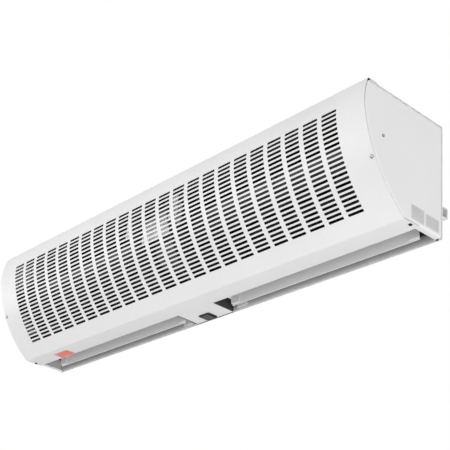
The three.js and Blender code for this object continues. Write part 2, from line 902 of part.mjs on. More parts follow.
function lead(corners) {
  const route = new THREE.CatmullRomCurve3(corners.map((corner) => new THREE.Vector3(...corner)));
  const section = Array.from({ length: smallSides }, (_, index) => {
    const angle = (index / smallSides) * 2 * Math.PI;
    return point(leadRadius * Math.cos(angle), leadRadius * Math.sin(angle));
  });
  const along = { steps: leadSteps, extrudePath: route };
  return new THREE.ExtrudeGeometry(new THREE.Shape(section), along);
}

// From the top of the terminal block up to the underside of the motor.
function motorLead() {
  const x = bayCentre + canLength / 4;
  const y = terminalFront + terminalWidth / 4;
  const start = terminalBase + terminalHeight + gap;
  const end = axisZ - motorRadius - gap;
  const rise = end - start;
  return lead([
    [x, y, start],
    [x, y, start + rise * leadFootShare],
    [x, (y + axisY) / 2, start + rise * leadKneeShare],
    [x, axisY, end - rise * leadHeadShare],
    [x, axisY, end],
  ]);
}

// From the back of the terminal block over to the top of the switch.
function switchLead() {
  const x = terminalX - leadRadius;
  const y = terminalFront + terminalWidth + gap;
  const z = terminalBase + leadLevel;
  const end = bezelFace + bezelThickness + switchDepth + gap;
  const crown = end + leadLoop;
  return lead([
    [x, y, z],
    [x, y + leadStraight, z],
    [(x + switchX) / 2, y + 2.5 * leadStraight, z + leadRise],
    [switchX, -switchSetback - leadLoop, crown - leadRadius / 2],
    [switchX, -switchSetback - leadRadius, crown],
    [switchX, -switchSetback, (end + crown) / 2],
    [switchX, -switchSetback, end],
  ]);
}

// ---- wall fixings ----

// A channel that stands the casing off the wall, open towards the casing.
function wallRail() {
  const top = railBottom + railHeight;
  const path = [
    point(gap, railBottom),
    point(railDepth, railBottom),
    point(railDepth, top),
    point(gap, top),
  ];
  const holes = sides.map(({ sign }) => {
    const x = sign * (halfLength - railHoleInset);
    const spot = new THREE.Vector3(x, railDepth, (railBottom + top) / 2);
    return drill(wallHoleRadius, spot, alongYAxis, railDepth);
  });
  return cut(alongX(sheetOutline(path, sheet), -halfLength, halfLength), holes);
}

// A plate on the wall, an arm through the shell's slot and a hook behind the shell.
function wallHanger(sign) {
  const path = [
    point(railDepth, hangerTop - hangerDrop),
    point(railDepth, hangerTop),
    point(-seam, hangerTop),
    point(-seam, hangerTop + hangerHook),
  ];
  const x = sign * hangerX;
  const holes = [-hangerHoleX, hangerHoleX].map((offset) => {
    const spot = new THREE.Vector3(x + offset, railDepth, hangerTop - hangerHoleDrop);
    return drill(wallHoleRadius, spot, alongYAxis, railDepth);
  });
  const outline = sheetOutline(path, sheet);
  return cut(alongX(outline, x - hangerWidth / 2, x + hangerWidth / 2), holes);
}

// ---- assembly ----

function addCasing() {
  add("rear_shell", rearShell(), "whitePaint");
  add("front_cover", frontCover(), "whitePaint");
  add("wall_rail", wallRail(), "whitePaint");
  for (const { word, sign } of sides) {
    add(`side_plate_${word}`, sidePlate(sign), "whitePaint");
    add(`wall_hanger_${word}`, wallHanger(sign), "galvanised");
    for (const screw of [...coverScrews(sign), sideScrew(sign)]) {
      addScrew(screw, word);
    }
  }
}

function addDucts() {
  for (const side of sides) {
    add(`scroll_${side.word}`, scroll(side), "galvanised");
    add(`stabiliser_${side.word}`, stabiliser(side), "galvanised");
    add(`bay_plate_${side.word}`, bayPlate(side), "galvanised");
  }
}

function addMotor() {
  const [can, core] = [canLength / 2, coreLength / 2];
  const bore = shaftRadius + gap;
  const statorRim = motorRadius - canWall - gap;
  const parts = [
    ["motor_can", ring(motorRadius, motorRadius - canWall, -can, can, drumSides)],
    ["motor_stator", ring(statorRim, rotorCoreRadius + airGap, -core, core, drumSides), "coreSteel"],
    ["motor_rotor_core", ring(rotorCoreRadius, bore, -core, core), "coreSteel"],
    ...sides.map((side) => [`end_bell_${side.word}`, endBell(side)]),
  ];
  for (const [name, geometry, finish = "aluminium"] of parts) {
    addOnAxis(name, geometry, finish).position.x = bayCentre;
  }
  const ends = sides.map(({ fanNear, sign }) => fanNear + sign * (discThickness / 2 + hubSeat));
  addOnAxis("motor_shaft", rod(shaftRadius, ...ends), "steel");
}

function addFan(side) {
  const { word, sign, near, fanNear } = side;
  const bossBore = bossRadius + gap;
  const hub = grippingRing(shaftRadius + gap, hubRadius, discThickness);
  const motorSeat = bossBore + motorRubber;
  const motorRing = grippingRing(bossBore, motorSeat, sheet, alongXAxis, drumSides);
  const bearingRing = grippingRing(bearingRadius + gap, bearingSeat, sheet);
  const bush = ring(bearingRadius, shaftRadius + gap, -bearingLength / 2, bearingLength / 2);
  const webMiddle = sign * (bracketWeb - sheet / 2);
  addOnAxis(`impeller_${word}`, impeller(side), "aluminium");
  addOnAxis(`hub_${word}`, hub, "blackRubber").position.x = fanNear + (sign * discThickness) / 2;
  addOnAxis(`motor_ring_${word}`, motorRing, "blackRubber").position.x = near - (sign * sheet) / 2;
  addOnAxis(`stub_shaft_${word}`, stubShaft(side), "steel");
  addOnAxis(`bearing_bush_${word}`, bush, "bronze").position.x = webMiddle;
  addOnAxis(`bearing_rubber_${word}`, bearingRing, "blackRubber").position.x = webMiddle;
  add(`bearing_bracket_${word}`, bearingBracket(sign), "galvanised");
}

function addVane(side) {
  const { word, sign, vaneNear, vaneFar } = side;
  const ends = [
    ["inner", vaneNear, -sign, bracketLow - vanePivotHeight],
    ["outer", vaneFar, sign, -earHeight / 2],
  ];
  const pivot = [0, vaneY, vanePivotHeight];
  const tilting = [
    add(`vane_${word}`, vaneBlade(side), "whitePaint", ...pivot),
    ...ends.map(([place, end, away]) => {
      return add(`vane_clip_${word}_${place}`, vaneClip(end, away), "galvanised", ...pivot);
    }),
  ];
  for (const mesh of tilting) {
    mesh.rotation.x = radians(vaneLean);
  }
  for (const [place, end, away, low] of ends) {
    const bracket = vaneBracket(end, away, low);
    add(`vane_bracket_${word}_${place}`, bracket, "galvanised", ...pivot);
  }
}

function addBay() {
  const [left] = sides;
  const switchPlace = [switchX, -switchSetback];
  const capacitorPlace = [capacitorY, capacitorZ];
  const grommet = grippingRing(grommetBore, grommetBore + grommetWall, sheet, alongYAxis);
  add("switch_panel", switchPanel(), "whitePaint");
  add("switch_body", switchBody(), "blackPlastic", ...switchPlace, bezelFace);
  add("rocker", rocker(), "greyPlastic", ...switchPlace, bezelFace + rockerPivot);
  add("terminal_block", terminalBlock(), "whitePlastic", terminalX, terminalFront, terminalBase);
  const capacitorX = left.plateInside + seam + gap;
  add("capacitor", capacitor(), "whitePlastic", capacitorX, ...capacitorPlace);
  add("capacitor_nut", nut(), "steel", left.near - gap, ...capacitorPlace);
  add("cable_grommet", grommet, "blackRubber", grommetX, -sheet / 2, grommetHeight);
  add("motor_lead", motorLead(), "blackPlastic");
  add("switch_lead", switchLead(), "blackPlastic");
}

addCasing();
addDucts();
addMotor();
sides.forEach(addFan);
sides.forEach(addVane);
addBay();
casing.position.set(0, -railDepth, -railBottom - railHeight / 2);

export default casing;
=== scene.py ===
import math

import bpy
import numpy as np
from mathutils import Matrix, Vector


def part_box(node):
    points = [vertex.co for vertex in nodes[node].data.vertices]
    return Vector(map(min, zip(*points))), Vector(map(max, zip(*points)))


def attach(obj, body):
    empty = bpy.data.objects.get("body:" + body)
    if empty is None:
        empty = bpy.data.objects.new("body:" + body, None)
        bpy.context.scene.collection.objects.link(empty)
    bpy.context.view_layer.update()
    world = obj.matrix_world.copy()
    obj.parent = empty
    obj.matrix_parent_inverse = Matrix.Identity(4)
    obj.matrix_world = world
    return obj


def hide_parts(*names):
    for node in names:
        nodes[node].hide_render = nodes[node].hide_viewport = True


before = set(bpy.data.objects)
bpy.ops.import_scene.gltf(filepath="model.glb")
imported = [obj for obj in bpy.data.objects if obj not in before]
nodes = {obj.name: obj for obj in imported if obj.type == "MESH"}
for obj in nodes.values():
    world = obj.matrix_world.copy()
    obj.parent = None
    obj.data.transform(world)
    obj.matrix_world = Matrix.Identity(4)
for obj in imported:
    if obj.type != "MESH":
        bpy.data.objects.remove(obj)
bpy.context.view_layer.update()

print("frame loaded:", len(nodes), "nodes")

# Everything is worked out in casing millimetres: zero at the middle, the back and the underside.
casing = {
    "length": 900, "height": 178, "topDepth": 155, "browLean": 21, "browRadius": 95,
    "browSweep": 32.5, "footDepth": 77.6, "sheet": 1.2, "gap": 0.3, "lipWidth": 33,
    "axisY": -69.7, "axisZ": 102.554, "bayNear": {"left": -49, "right": 39},
    "originY": -11, "originZ": -43,
}
signs = {"left": -1, "right": 1}
axisSpot = (0, casing["axisY"], casing["axisZ"])
alongX = np.array((1.0, 0.0, 0.0))


def inMetres(points):
    # casing millimetres to the frame's metres
    shift = (0, casing["originY"], casing["originZ"])
    return (np.asarray(points, float) + shift) * 0.001


def unit(vectors):
    vectors = np.asarray(vectors, float)
    return vectors / np.linalg.norm(vectors, axis=-1, keepdims=True)


def leftOf(directions):
    return np.stack([-directions[..., 1], directions[..., 0]], -1)


def gridFaces(rows, columns, wrapRows=False, wrapColumns=False):
    # four-cornered faces between neighbours of a grid of points that is numbered row by row
    i, j = np.meshgrid(
        np.arange(rows if wrapRows else rows - 1),
        np.arange(columns if wrapColumns else columns - 1),
        indexing="ij",
    )
    nextRow, nextColumn = (i + 1) % rows, (j + 1) % columns
    corners = [i * columns + j, i * columns + nextColumn]
    corners += [nextRow * columns + nextColumn, nextRow * columns + j]
    return np.stack(corners, -1).reshape(-1, 4)


def stackRings(rings, wrapRows=False):
    # rings of equal count one after another, closed by a flat face at both ends unless they wrap
    rings = np.asarray(rings, float)
    rows, columns = rings.shape[:2]
    caps = []
    if not wrapRows:
        first = np.arange(columns)
        caps = [first[::-1], first + (rows - 1) * columns]
    return rings.reshape(-1, 3), gridFaces(rows, columns, wrapRows, True), caps


def roundCorners(corners, radius, steps=5, closed=False):
    # each corner becomes an arc that touches both of its sides: it starts radius * tan(half the
    # turn) before the corner, and its centre lies one radius to the side the path turns to
    corners = np.asarray(corners, float)
    radius = np.array(np.broadcast_to(radius, len(corners)), float)
    before, after = corners - np.roll(corners, 1, 0), np.roll(corners, -1, 0) - corners
    if not closed:
        before[0], after[-1] = after[0], before[-1]
        radius[[0, -1]] = 0
    before, after = unit(before), unit(after)
    turn = np.arctan2(np.sum(leftOf(before) * after, 1), np.sum(before * after, 1))
    start = corners - before * (radius * np.abs(np.tan(turn / 2)))[:, None]
    centre = start + leftOf(before) * (np.sign(turn) * radius)[:, None]
    arm = (start - centre)[:, None, :]
    angle = np.linspace(0, 1, steps)[None, :, None] * turn[:, None, None]
    points = centre[:, None, :] + arm * np.cos(angle) + leftOf(arm) * np.sin(angle)
    points = points.reshape(-1, 2)
    fresh = np.linalg.norm(points - np.roll(points, 1, 0), axis=1) > 1e-5
    fresh[0] = fresh[0] or not closed
    return points[fresh]


def sideNormals(path, closed=False):
    # the way to the left at each point of a path, stretched at corners so that an offset by a
    # distance keeps that distance from both sides
    steps = unit(np.roll(path, -1, 0) - path) if closed else unit(np.diff(path, axis=0))
    if closed:
        before, after = np.roll(steps, 1, 0), steps
    else:
        before, after = np.vstack([steps[:1], steps]), np.vstack([steps, steps[-1:]])
    across = leftOf(unit(before + after))
    return across / np.sum(across * leftOf(before), 1)[:, None]


def sheetOutline(path, thickness):
    # a bent sheet seen from its end: the path, then its offset to the left on the way back
    return np.vstack([path, (path + sideNormals(path) * thickness)[::-1]])


def extrude(outline, places):
    # a closed (Y, Z) outline repeated at places along X
    outline = np.asarray(outline, float)
    rings = [np.column_stack([np.full(len(outline), x), outline]) for x in places]
    return stackRings(rings)


def wheelRound(out, angle):
    # the way out at each angle: cos a * u + sin a * v, with u and v square to the axis
    u = unit(np.cross(out, (0, 0, 1) if abs(out[2]) < 0.9 else (1, 0, 0)))
    return np.cos(angle)[..., None] * u + np.sin(angle)[..., None] * np.cross(out, u)


def turnRound(profile, sides=48, spot=axisSpot, out=alongX, closed=True):
    # (radius, distance along the axis) carried round it: spot + out * distance + radius * wheel
    profile = np.asarray(profile, float)
    out = unit(out)
    wheel = wheelRound(out, np.arange(sides) * (2 * np.pi / sides))
    rings = np.asarray(spot, float) + profile[:, 1, None, None] * out
    rings = rings + profile[:, 0, None, None] * wheel[None]
    return *stackRings(rings, wrapRows=closed)[:2], []


def roundedRectangle(width, depth, radius, steps=5):
    w, d = width / 2, depth / 2
    corners = [(w, -d), (w, d), (-w, d), (-w, -d)]
    return roundCorners(corners, radius, steps, closed=True)


def mergeDoubles(points, faces, caps):
    # equal points become one; a face with two equal corners becomes a triangle
    _, first, inverse = np.unique(
        np.round(points, 5), axis=0, return_index=True, return_inverse=True
    )
    faces = inverse.reshape(-1)[faces]
    same = faces == np.roll(faces, -1, 1)
    count = same.sum(1)
    triangles = faces[count == 1][~same[count == 1]].reshape(-1, 3)
    lists = faces[count == 0].tolist() + triangles.tolist()
    lists += [inverse.reshape(-1)[cap].tolist() for cap in caps]
    return points[first], lists


def signedVolume(points, lists):
    fans = [(f[0], f[k], f[k + 1]) for f in lists for k in range(1, len(f) - 1)]
    a, b, c = points[np.array(fans)].transpose(1, 0, 2)
    return np.sum(a * np.cross(b, c)) / 6


def makePiece(name, parts, finish, body="casing", stands=(), crease=38):
    # each part is a closed surface of its own; one whose volume is negative is turned
    allPoints, allFaces, start = [], [], 0
    for points, faces, caps in parts:
        points, lists = mergeDoubles(points, faces, caps)
        if signedVolume(points - points.mean(0), lists) < 0:
            lists = [f[::-1] for f in lists]
        allPoints.append(points)
        allFaces += [[start + k for k in f] for f in lists]
        start += len(points)
    mesh = bpy.data.meshes.new(name)
    mesh.from_pydata(inMetres(np.vstack(allPoints)).tolist(), [], allFaces)
    mesh.shade_smooth()
    mesh.set_sharp_from_angle(angle=math.radians(crease))
    mesh.materials.append(finishes[finish])
    piece = bpy.data.objects.new(name, mesh)
    bpy.context.scene.collection.objects.link(piece)
    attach(piece, body)
    if stands:
        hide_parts(*([stands] if isinstance(stands, str) else stands))
    return piece


# Materials: the node trees read Object coordinates, in metres.

def startMaterial(name, **sockets):
    material = bpy.data.materials.new(name)
    material.use_nodes = True
    shader = material.node_tree.nodes["Principled BSDF"]
    for socket, value in sockets.items():
        shader.inputs[socket.replace("_", " ")].default_value = value
    return material, material.node_tree, shader


def addNode(tree, kind, inputs=None, **settings):
    node = tree.nodes.new(kind)
    for key, value in settings.items():
        setattr(node, key, value)
    for key, value in (inputs or {}).items():
        if isinstance(value, bpy.types.NodeSocket):
            tree.links.new(value, node.inputs[key])
        else:
            node.inputs[key].default_value = value
    return node


def placeOnPiece(tree, stretch=(1, 1, 1)):
    coordinates = addNode(tree, "ShaderNodeTexCoord").outputs["Object"]
    sockets = {"Vector": coordinates, "Scale": stretch}
    return addNode(tree, "ShaderNodeMapping", sockets).outputs["Vector"]


def noise(tree, scale, detail=3, stretch=(1, 1, 1), roughness=0.5):
    sockets = {"Vector": placeOnPiece(tree, stretch), "Scale": scale, "Detail": detail}
    sockets["Roughness"] = roughness
    return addNode(tree, "ShaderNodeTexNoise", sockets).outputs["Fac"]


def spread(tree, value, low, high, fromLow=0.3, fromHigh=0.7):
    sockets = {"Value": value, "From Min": fromLow, "From Max": fromHigh}
    sockets.update({"To Min": low, "To Max": high})
    return addNode(tree, "ShaderNodeMapRange", sockets).outputs["Result"]


def ramp(tree, value, *stops):
    node = addNode(tree, "ShaderNodeValToRGB", {"Fac": value})
    elements = node.color_ramp.elements
    while len(elements) < len(stops):
        elements.new(0.5)
    for element, (place, colour) in zip(elements, stops):
        element.position, element.color = place, (*colour, 1)
    return node.outputs["Color"]


def bump(tree, shader, height, strength, distance):
    sockets = {"Height": height, "Strength": strength, "Distance": distance}
    normal = addNode(tree, "ShaderNodeBump", sockets).outputs["Normal"]
    tree.links.new(normal, shader.inputs["Normal"])


def connect(tree, shader, colour, gloss, *relief):
    tree.links.new(colour, shader.inputs["Base Color"])
    tree.links.new(gloss, shader.inputs["Roughness"])
    bump(tree, shader, *relief)


def calculate(tree, operation, *values):
    sockets = dict(enumerate(values))
    return addNode(tree, "ShaderNodeMath", sockets, operation=operation).outputs[0]


def dim(tree, colour, share):
    sockets = {"Vector": colour, "Scale": share}
    return addNode(tree, "ShaderNodeVectorMath", sockets, operation="SCALE").outputs["Vector"]


def powderCoat(name, pale, shade, back=None):
    # baked powder: an even colour, a soft gloss and a fine orange peel; with a back (tone, X, Y, Z)
    # everything between the ends -X and X, in front of that Y and under that Z is dimmed to that
    # tone, a painted shade for the casing's dark inside
    material, tree, shader = startMaterial(name, Metallic=0.0, IOR=1.5)
    colour = ramp(tree, noise(tree, 7, 3), (0.3, shade), (0.7, pale))
    if back:
        axes = addNode(tree, "ShaderNodeSeparateXYZ", {"Vector": placeOnPiece(tree)}).outputs
        away = calculate(tree, "ABSOLUTE", axes["X"])
        inside = 1
        for value, limit in zip((away, axes["Y"], axes["Z"]), back[1:]):
            under = calculate(tree, "LESS_THAN", value, limit)
            inside = calculate(tree, "MULTIPLY", inside, under)
        colour = dim(tree, colour, spread(tree, inside, 1, back[0], 0, 1))
    gloss = spread(tree, noise(tree, 45, 3), 0.36, 0.46)
    connect(tree, shader, colour, gloss, noise(tree, 620, 2), 0.16, 0.00012)
    return material


def galvanisedSheet(name, dark, pale, metallic, grain=85, shadeFade=None):
    # zinc flowers: cells of slightly different tone and gloss; with a fade (level, level, share) the
    # tone falls to that share between two levels of Z, a painted shade that darkens the sheet upwards
    material, tree, shader = startMaterial(name, Metallic=metallic)
    place = placeOnPiece(tree)
    cells = addNode(tree, "ShaderNodeTexVoronoi", {"Vector": place, "Scale": grain})
    tone = addNode(tree, "ShaderNodeSeparateColor", {"Color": cells.outputs["Color"]})
    colour = ramp(tree, tone.outputs["Red"], (0.1, dark), (0.9, pale))
    if shadeFade:
        level = addNode(tree, "ShaderNodeSeparateXYZ", {"Vector": place}).outputs["Z"]
        colour = dim(tree, colour, spread(tree, level, 1, shadeFade[2], shadeFade[0], shadeFade[1]))
    gloss = spread(tree, tone.outputs["Green"], 0.38, 0.52, 0, 1)
    connect(tree, shader, colour, gloss, noise(tree, 260, 3), 0.1, 0.0002)
    return material


def drawnMetal(name, dark, pale, roughness, metallic, stretch, scale=60, depth=0.1):
    # fine lines along one direction, from rolling or turning
    material, tree, shader = startMaterial(name, Metallic=metallic)
    lines = noise(tree, scale, 4, stretch, 0.6)
    colour = ramp(tree, lines, (0.3, dark), (0.7, pale))
    gloss = spread(tree, lines, roughness - 0.06, roughness + 0.06)
    connect(tree, shader, colour, gloss, lines, depth, 0.0001)
    return material


def laminatedSteel(name, dark, pale):
    # punched sheets half a millimetre thick, stacked along X
    material, tree, shader = startMaterial(name, Metallic=0.7)
    sockets = {"Vector": placeOnPiece(tree), "Scale": 320, "Distortion": 0.4, "Detail": 2}
    layers = addNode(tree, "ShaderNodeTexWave", sockets, bands_direction="X").outputs["Fac"]
    colour = ramp(tree, layers, (0.2, dark), (0.8, pale))
    gloss = spread(tree, noise(tree, 90, 3), 0.42, 0.6)
    connect(tree, shader, colour, gloss, layers, 0.3, 0.0002)
    return material


def mouldedPlastic(name, dark, pale, roughness, grain=1500, depth=0.25):
    # a spark-eroded mould leaves a fine even texture
    material, tree, shader = startMaterial(name, Metallic=0.0, IOR=1.49)
    colour = ramp(tree, noise(tree, 60, 3), (0.3, dark), (0.7, pale))
    gloss = spread(tree, noise(tree, 180, 3), roughness - 0.05, roughness + 0.05)
    connect(tree, shader, colour, gloss, noise(tree, grain, 2), depth, 0.0001)
    return material


def printedFilm(name, dark, pale, roughness=0.38):
    # a plain self-adhesive film, a little uneven where it was rubbed down
    material, tree, shader = startMaterial(name, Metallic=0.0, IOR=1.46)
    colour = ramp(tree, noise(tree, 55, 4), (0.3, dark), (0.7, pale))
    gloss = spread(tree, noise(tree, 120, 3), roughness - 0.05, roughness + 0.08)
    connect(tree, shader, colour, gloss, noise(tree, 240, 3), 0.12, 0.0002)
    return material


def grey(level, tint=0.0):
    return (level, level, level * (1 + tint))


recipes = {
    "whitePaint": (powderCoat, (0.80, 0.805, 0.80), (0.765, 0.77, 0.768)),
    # the rear shell's inside is dimmed to 0.09 of its tone: painted shade
    "shellPaint": (
        powderCoat, (0.80, 0.805, 0.80), (0.765, 0.77, 0.768), (0.09, 0.444, -0.01215, 0.13235)
    ),
    # near-black: painted shade for the cover's inner face and its slots' edges
    "innerPaint": (powderCoat, grey(0.085), grey(0.07)),
    "galvanised": (galvanisedSheet, grey(0.62, 0.02), grey(0.70, 0.02), 0.35),
    # pale zinc low at the outlet, falling to 0.12 of its tone higher up: painted light below and
    # painted shade above
    "ductZinc": (
        galvanisedSheet, grey(0.80, 0.01), grey(0.84, 0.01), 0.1, 85, (-0.0415, -0.023, 0.12)
    ),
    # a near-white copy of the zinc: painted light for parts that show bright
    "brightZinc": (galvanisedSheet, grey(0.88), grey(0.92), 0.1, 140),
    # lighter than the casing's white: painted light on the vane in the outlet's shade
    "vanePaint": (powderCoat, grey(0.88), grey(0.85)),
    "darkSteel": (drawnMetal, grey(0.3), grey(0.4), 0.3, 0.9, (1, 1, 1), 900),
    # a near-black copy of the zinc: painted shade for parts deep in the casing
    "dullZinc": (galvanisedSheet, grey(0.05, 0.03), grey(0.075, 0.03), 0.4, 140),
    # near-black aluminium: painted shade, so the fans look dark through the slots
    "fanAluminium": (
        drawnMetal, grey(0.07, 0.02), grey(0.12, 0.02), 0.42, 0.7, (0.15, 1, 1), 160
    ),
    # a dark copy of aluminium: painted shade for the motor inside the casing
    "motorAluminium": (drawnMetal, grey(0.20), grey(0.27), 0.4, 0.6, (0.3, 1, 1), 220),
    "coreSteel": (laminatedSteel, grey(0.06), grey(0.14)),
    "brightSteel": (drawnMetal, grey(0.5), grey(0.66), 0.28, 1.0, (1, 1, 1), 900),
    "blackScrew": (drawnMetal, grey(0.02), grey(0.04), 0.4, 0.6, (1, 1, 1), 900),
    "bronze": (drawnMetal, (0.3, 0.17, 0.07), (0.42, 0.25, 0.1), 0.42, 0.9, (1, 1, 1), 1500),
    "blackRubber": (mouldedPlastic, grey(0.012), grey(0.022), 0.82, 700, 0.35),
    "blackPlastic": (mouldedPlastic, grey(0.005), grey(0.008), 0.5),
    "greyPlastic": (mouldedPlastic, grey(0.07), grey(0.09), 0.42),
    "whitePlastic": (mouldedPlastic, (0.66, 0.66, 0.61), (0.73, 0.73, 0.69), 0.45),
    "paleFilm": (printedFilm, grey(0.60), grey(0.66)),
    "greyFilm": (printedFilm, grey(0.52), grey(0.58)),
    "pinkFilm": (printedFilm, (0.82, 0.48, 0.45), (0.86, 0.52, 0.49)),
    "redFilm": (printedFilm, (0.84, 0.20, 0.16), (0.90, 0.23, 0.19)),
}
finishes = {name: make(name, *values) for name, (make, *values) in recipes.items()}
print("materials made:", len(finishes))

# Front cover: a rolled sheet with punched slots, a lip below and a flange over the top.
cover = {
    "slotLength": 27, "slotHeight": 3.9, "slotPitch": 35.15, "rowPitch": 6.77,
    "firstRow": 34.8, "rows": 22, "columns": 23, "cornerCut": 0.7, "topFlange": 18,
    "lipReturn": 9, "topBend": 2.2, "footBend": 5, "lipBend": 2, "plainStep": 4,
    "returnEnd": 433.7, "bayGap": 0.3, "thickness": 0.5, "endGap": 0.7,
}
sheet, gap = casing["sheet"], casing["gap"]
halfLength = casing["length"] / 2
seam = sheet + gap
lean = math.radians(casing["browLean"])
waistLean = math.radians(casing["browLean"] - casing["browSweep"])
browArc = casing["browRadius"] * math.radians(casing["browSweep"])


def advance(start, angle, radius, arc):
    # where an arc of that length leads that leans forward by angle and turns back: the point
    # moves by radius times the change of (-cos, sin) of the lean
    after = angle - np.asarray(arc, float) / radius
    y = start[0] - radius * (np.cos(after) - np.cos(angle))
    z = start[1] + radius * (np.sin(after) - np.sin(angle))
    return np.stack([y, z], -1), after


waist = advance((-casing["topDepth"], casing["height"]), lean, casing["browRadius"], browArc)[0]
# one arc runs from the waist to the foot: half its turn lies between its chord and the waist's lean
chord = np.array((-casing["footDepth"], 0)) - waist
footLean = 2 * math.atan2(-chord[0], -chord[1]) - waistLean
bellyRadius = np.linalg.norm(chord) / (2 * math.sin((waistLean - footLean) / 2))
coverArc = browArc + bellyRadius * (waistLean - footLean)


def onCover(arc):
    # (y, z) and lean of the cover's outer face at a distance from its top front edge
    arc = np.asarray(arc, float)
    topCorner = (-casing["topDepth"], casing["height"])
    upper, upperLean = advance(topCorner, lean, casing["browRadius"], arc)
    lower, lowerLean = advance(waist, waistLean, bellyRadius, arc - browArc)
    inBrow = arc <= browArc
    return np.where(inBrow[..., None], upper, lower), np.where(inBrow, upperLean, lowerLean)


lipEdge = casing["lipWidth"] - casing["footDepth"]
print("belly radius:", round(float(bellyRadius), 2), "foot:", onCover(coverArc)[0].round(3))


def evenly(start, end, longest):
    return np.linspace(start, end, max(2, int(math.ceil((end - start) / longest)) + 1))


def slotEdges(middle, length, cut, count, pitch):
    # four lines for each slot: its two ends and the two places where its corners begin
    edges = np.array([-length / 2, -length / 2 + cut, length / 2 - cut, length / 2])
    return (middle + np.arange(count)[:, None] * pitch + edges).ravel()


def coverLines():
    # stations across the cover, top to bottom, as (y, z); the slot rows' lines come in fours
    height, cut = cover["slotHeight"], cover["cornerCut"]
    rows = slotEdges(cover["firstRow"], height, cut, cover["rows"], cover["rowPitch"])
    above = evenly(0, rows[0], cover["plainStep"])[:-1]
    below = evenly(rows[-1], coverArc, cover["plainStep"])[1:]
    corners = np.vstack([
        [(-casing["topDepth"] + cover["topFlange"], casing["height"])],
        onCover(above)[0], onCover(rows)[0], onCover(below)[0],
        [(lipEdge, 0), (lipEdge, cover["lipReturn"])],
    ])
    radius = np.zeros(len(corners))
    topCorner, footCorner = 1, len(corners) - 3
    radius[topCorner], radius[footCorner] = cover["topBend"], cover["footBend"]
    radius[footCorner + 1] = cover["lipBend"]
    path = roundCorners(corners, radius, 7)
    firstSlotLine = int(np.argmin(np.linalg.norm(path - onCover(rows[0])[0], axis=1)))
    lipStart = int(np.argmin(np.linalg.norm(path - (lipEdge - cover["lipBend"], 0), axis=1)))
    return path, firstSlotLine, lipStart


def coverColumns():
    # lines along X: the ends, the slot columns' lines and the ends of the lip's turned-up edge
    middle = -(cover["columns"] - 1) / 2 * cover["slotPitch"]
    length, cut = cover["slotLength"], cover["cornerCut"]
    columns = slotEdges(middle, length, cut, cover["columns"], cover["slotPitch"])
    notches = [-cover["returnEnd"], casing["bayNear"]["left"] - cover["bayGap"]]
    notches += [casing["bayNear"]["right"] + cover["bayGap"], cover["returnEnd"]]
    reach = halfLength - cover["endGap"]
    ends = [-reach, -reach + 0.8, reach - 0.8, reach]
    return np.unique(np.concatenate([columns, notches, ends])), columns


def frontCover():
    # outer face: (x, path(t)); inner face: the same less the sheet along the face's normal;
    # cells inside a slot are left out, its corner cells keep one triangle, and every edge that
    # then has one face gets a wall from the outer to the inner face
    path, firstLine, lipStart = coverLines()
    xLines, columns = coverColumns()
    rowCount, columnCount = len(path), len(xLines)
    inner = path + sideNormals(path) * cover["thickness"]
    grids = [
        np.column_stack([np.tile(xLines, rowCount), np.repeat(p, columnCount, axis=0)])
        for p in (path, inner)
    ]
    i, j = np.meshgrid(np.arange(rowCount - 1), np.arange(columnCount - 1), indexing="ij")
    middleX = (xLines[:-1] + xLines[1:]) / 2
    slotStarts, slotEnds = columns[0::4], columns[3::4]
    slotOfX = np.searchsorted(slotStarts, middleX) - 1
    inX = (slotOfX >= 0) & (middleX < slotEnds[np.clip(slotOfX, 0, None)])
    fromStart = middleX - slotStarts[np.clip(slotOfX, 0, None)]
    atStart = fromStart < cover["cornerCut"]
    atEnd = fromStart > cover["slotLength"] - cover["cornerCut"]
    line = i - firstLine
    inRow = (line >= 0) & (line < 4 * cover["rows"]) & (line % 4 < 3)
    inSlot = inRow & inX[j]
    corner = inSlot & (line % 4 != 1) & (atStart | atEnd)[j]
    returnGap = (middleX < -cover["returnEnd"]) | (middleX > cover["returnEnd"])
    returnGap |= (middleX > casing["bayNear"]["left"] - cover["bayGap"]) & (
        middleX < casing["bayNear"]["right"] + cover["bayGap"]
    )
    missing = (i >= lipStart) & returnGap[j]
    a = i * columnCount + j
    quads = np.stack([a, a + 1, a + columnCount + 1, a + columnCount], -1)
    faces = quads[~inSlot & ~missing]
    upper = line % 4 == 0
    # the corner that stays is the one that touches the slot's end and its long edge
    for top, start, kept in (
        (True, True, (0, 1, 3, 3)), (True, False, (0, 1, 2, 2)),
        (False, True, (0, 2, 3, 3)), (False, False, (1, 2, 3, 3)),
    ):
        chosen = corner & (upper == top) & ((atStart if start else atEnd)[j])
        faces = np.vstack([faces, quads[chosen][:, kept]])
    total = rowCount * columnCount
    ways = np.stack([faces, np.roll(faces, -1, 1)], -1).reshape(-1, 2)
    ways = ways[ways[:, 0] != ways[:, 1]]
    keys, backKeys = ways[:, 0] * total + ways[:, 1], ways[:, 1] * total + ways[:, 0]
    edge = ways[~np.isin(keys, backKeys)]
    walls = np.column_stack([edge[:, 1], edge[:, 0], edge[:, 0] + total, edge[:, 1] + total])
    faces = np.vstack([faces, faces[:, ::-1] + total, walls])
    # repeated corners of a triangle stand side by side again after the turn round
    used, index = np.unique(faces, return_inverse=True)
    points = np.vstack(grids)[used]
    return points, index.reshape(faces.shape), []


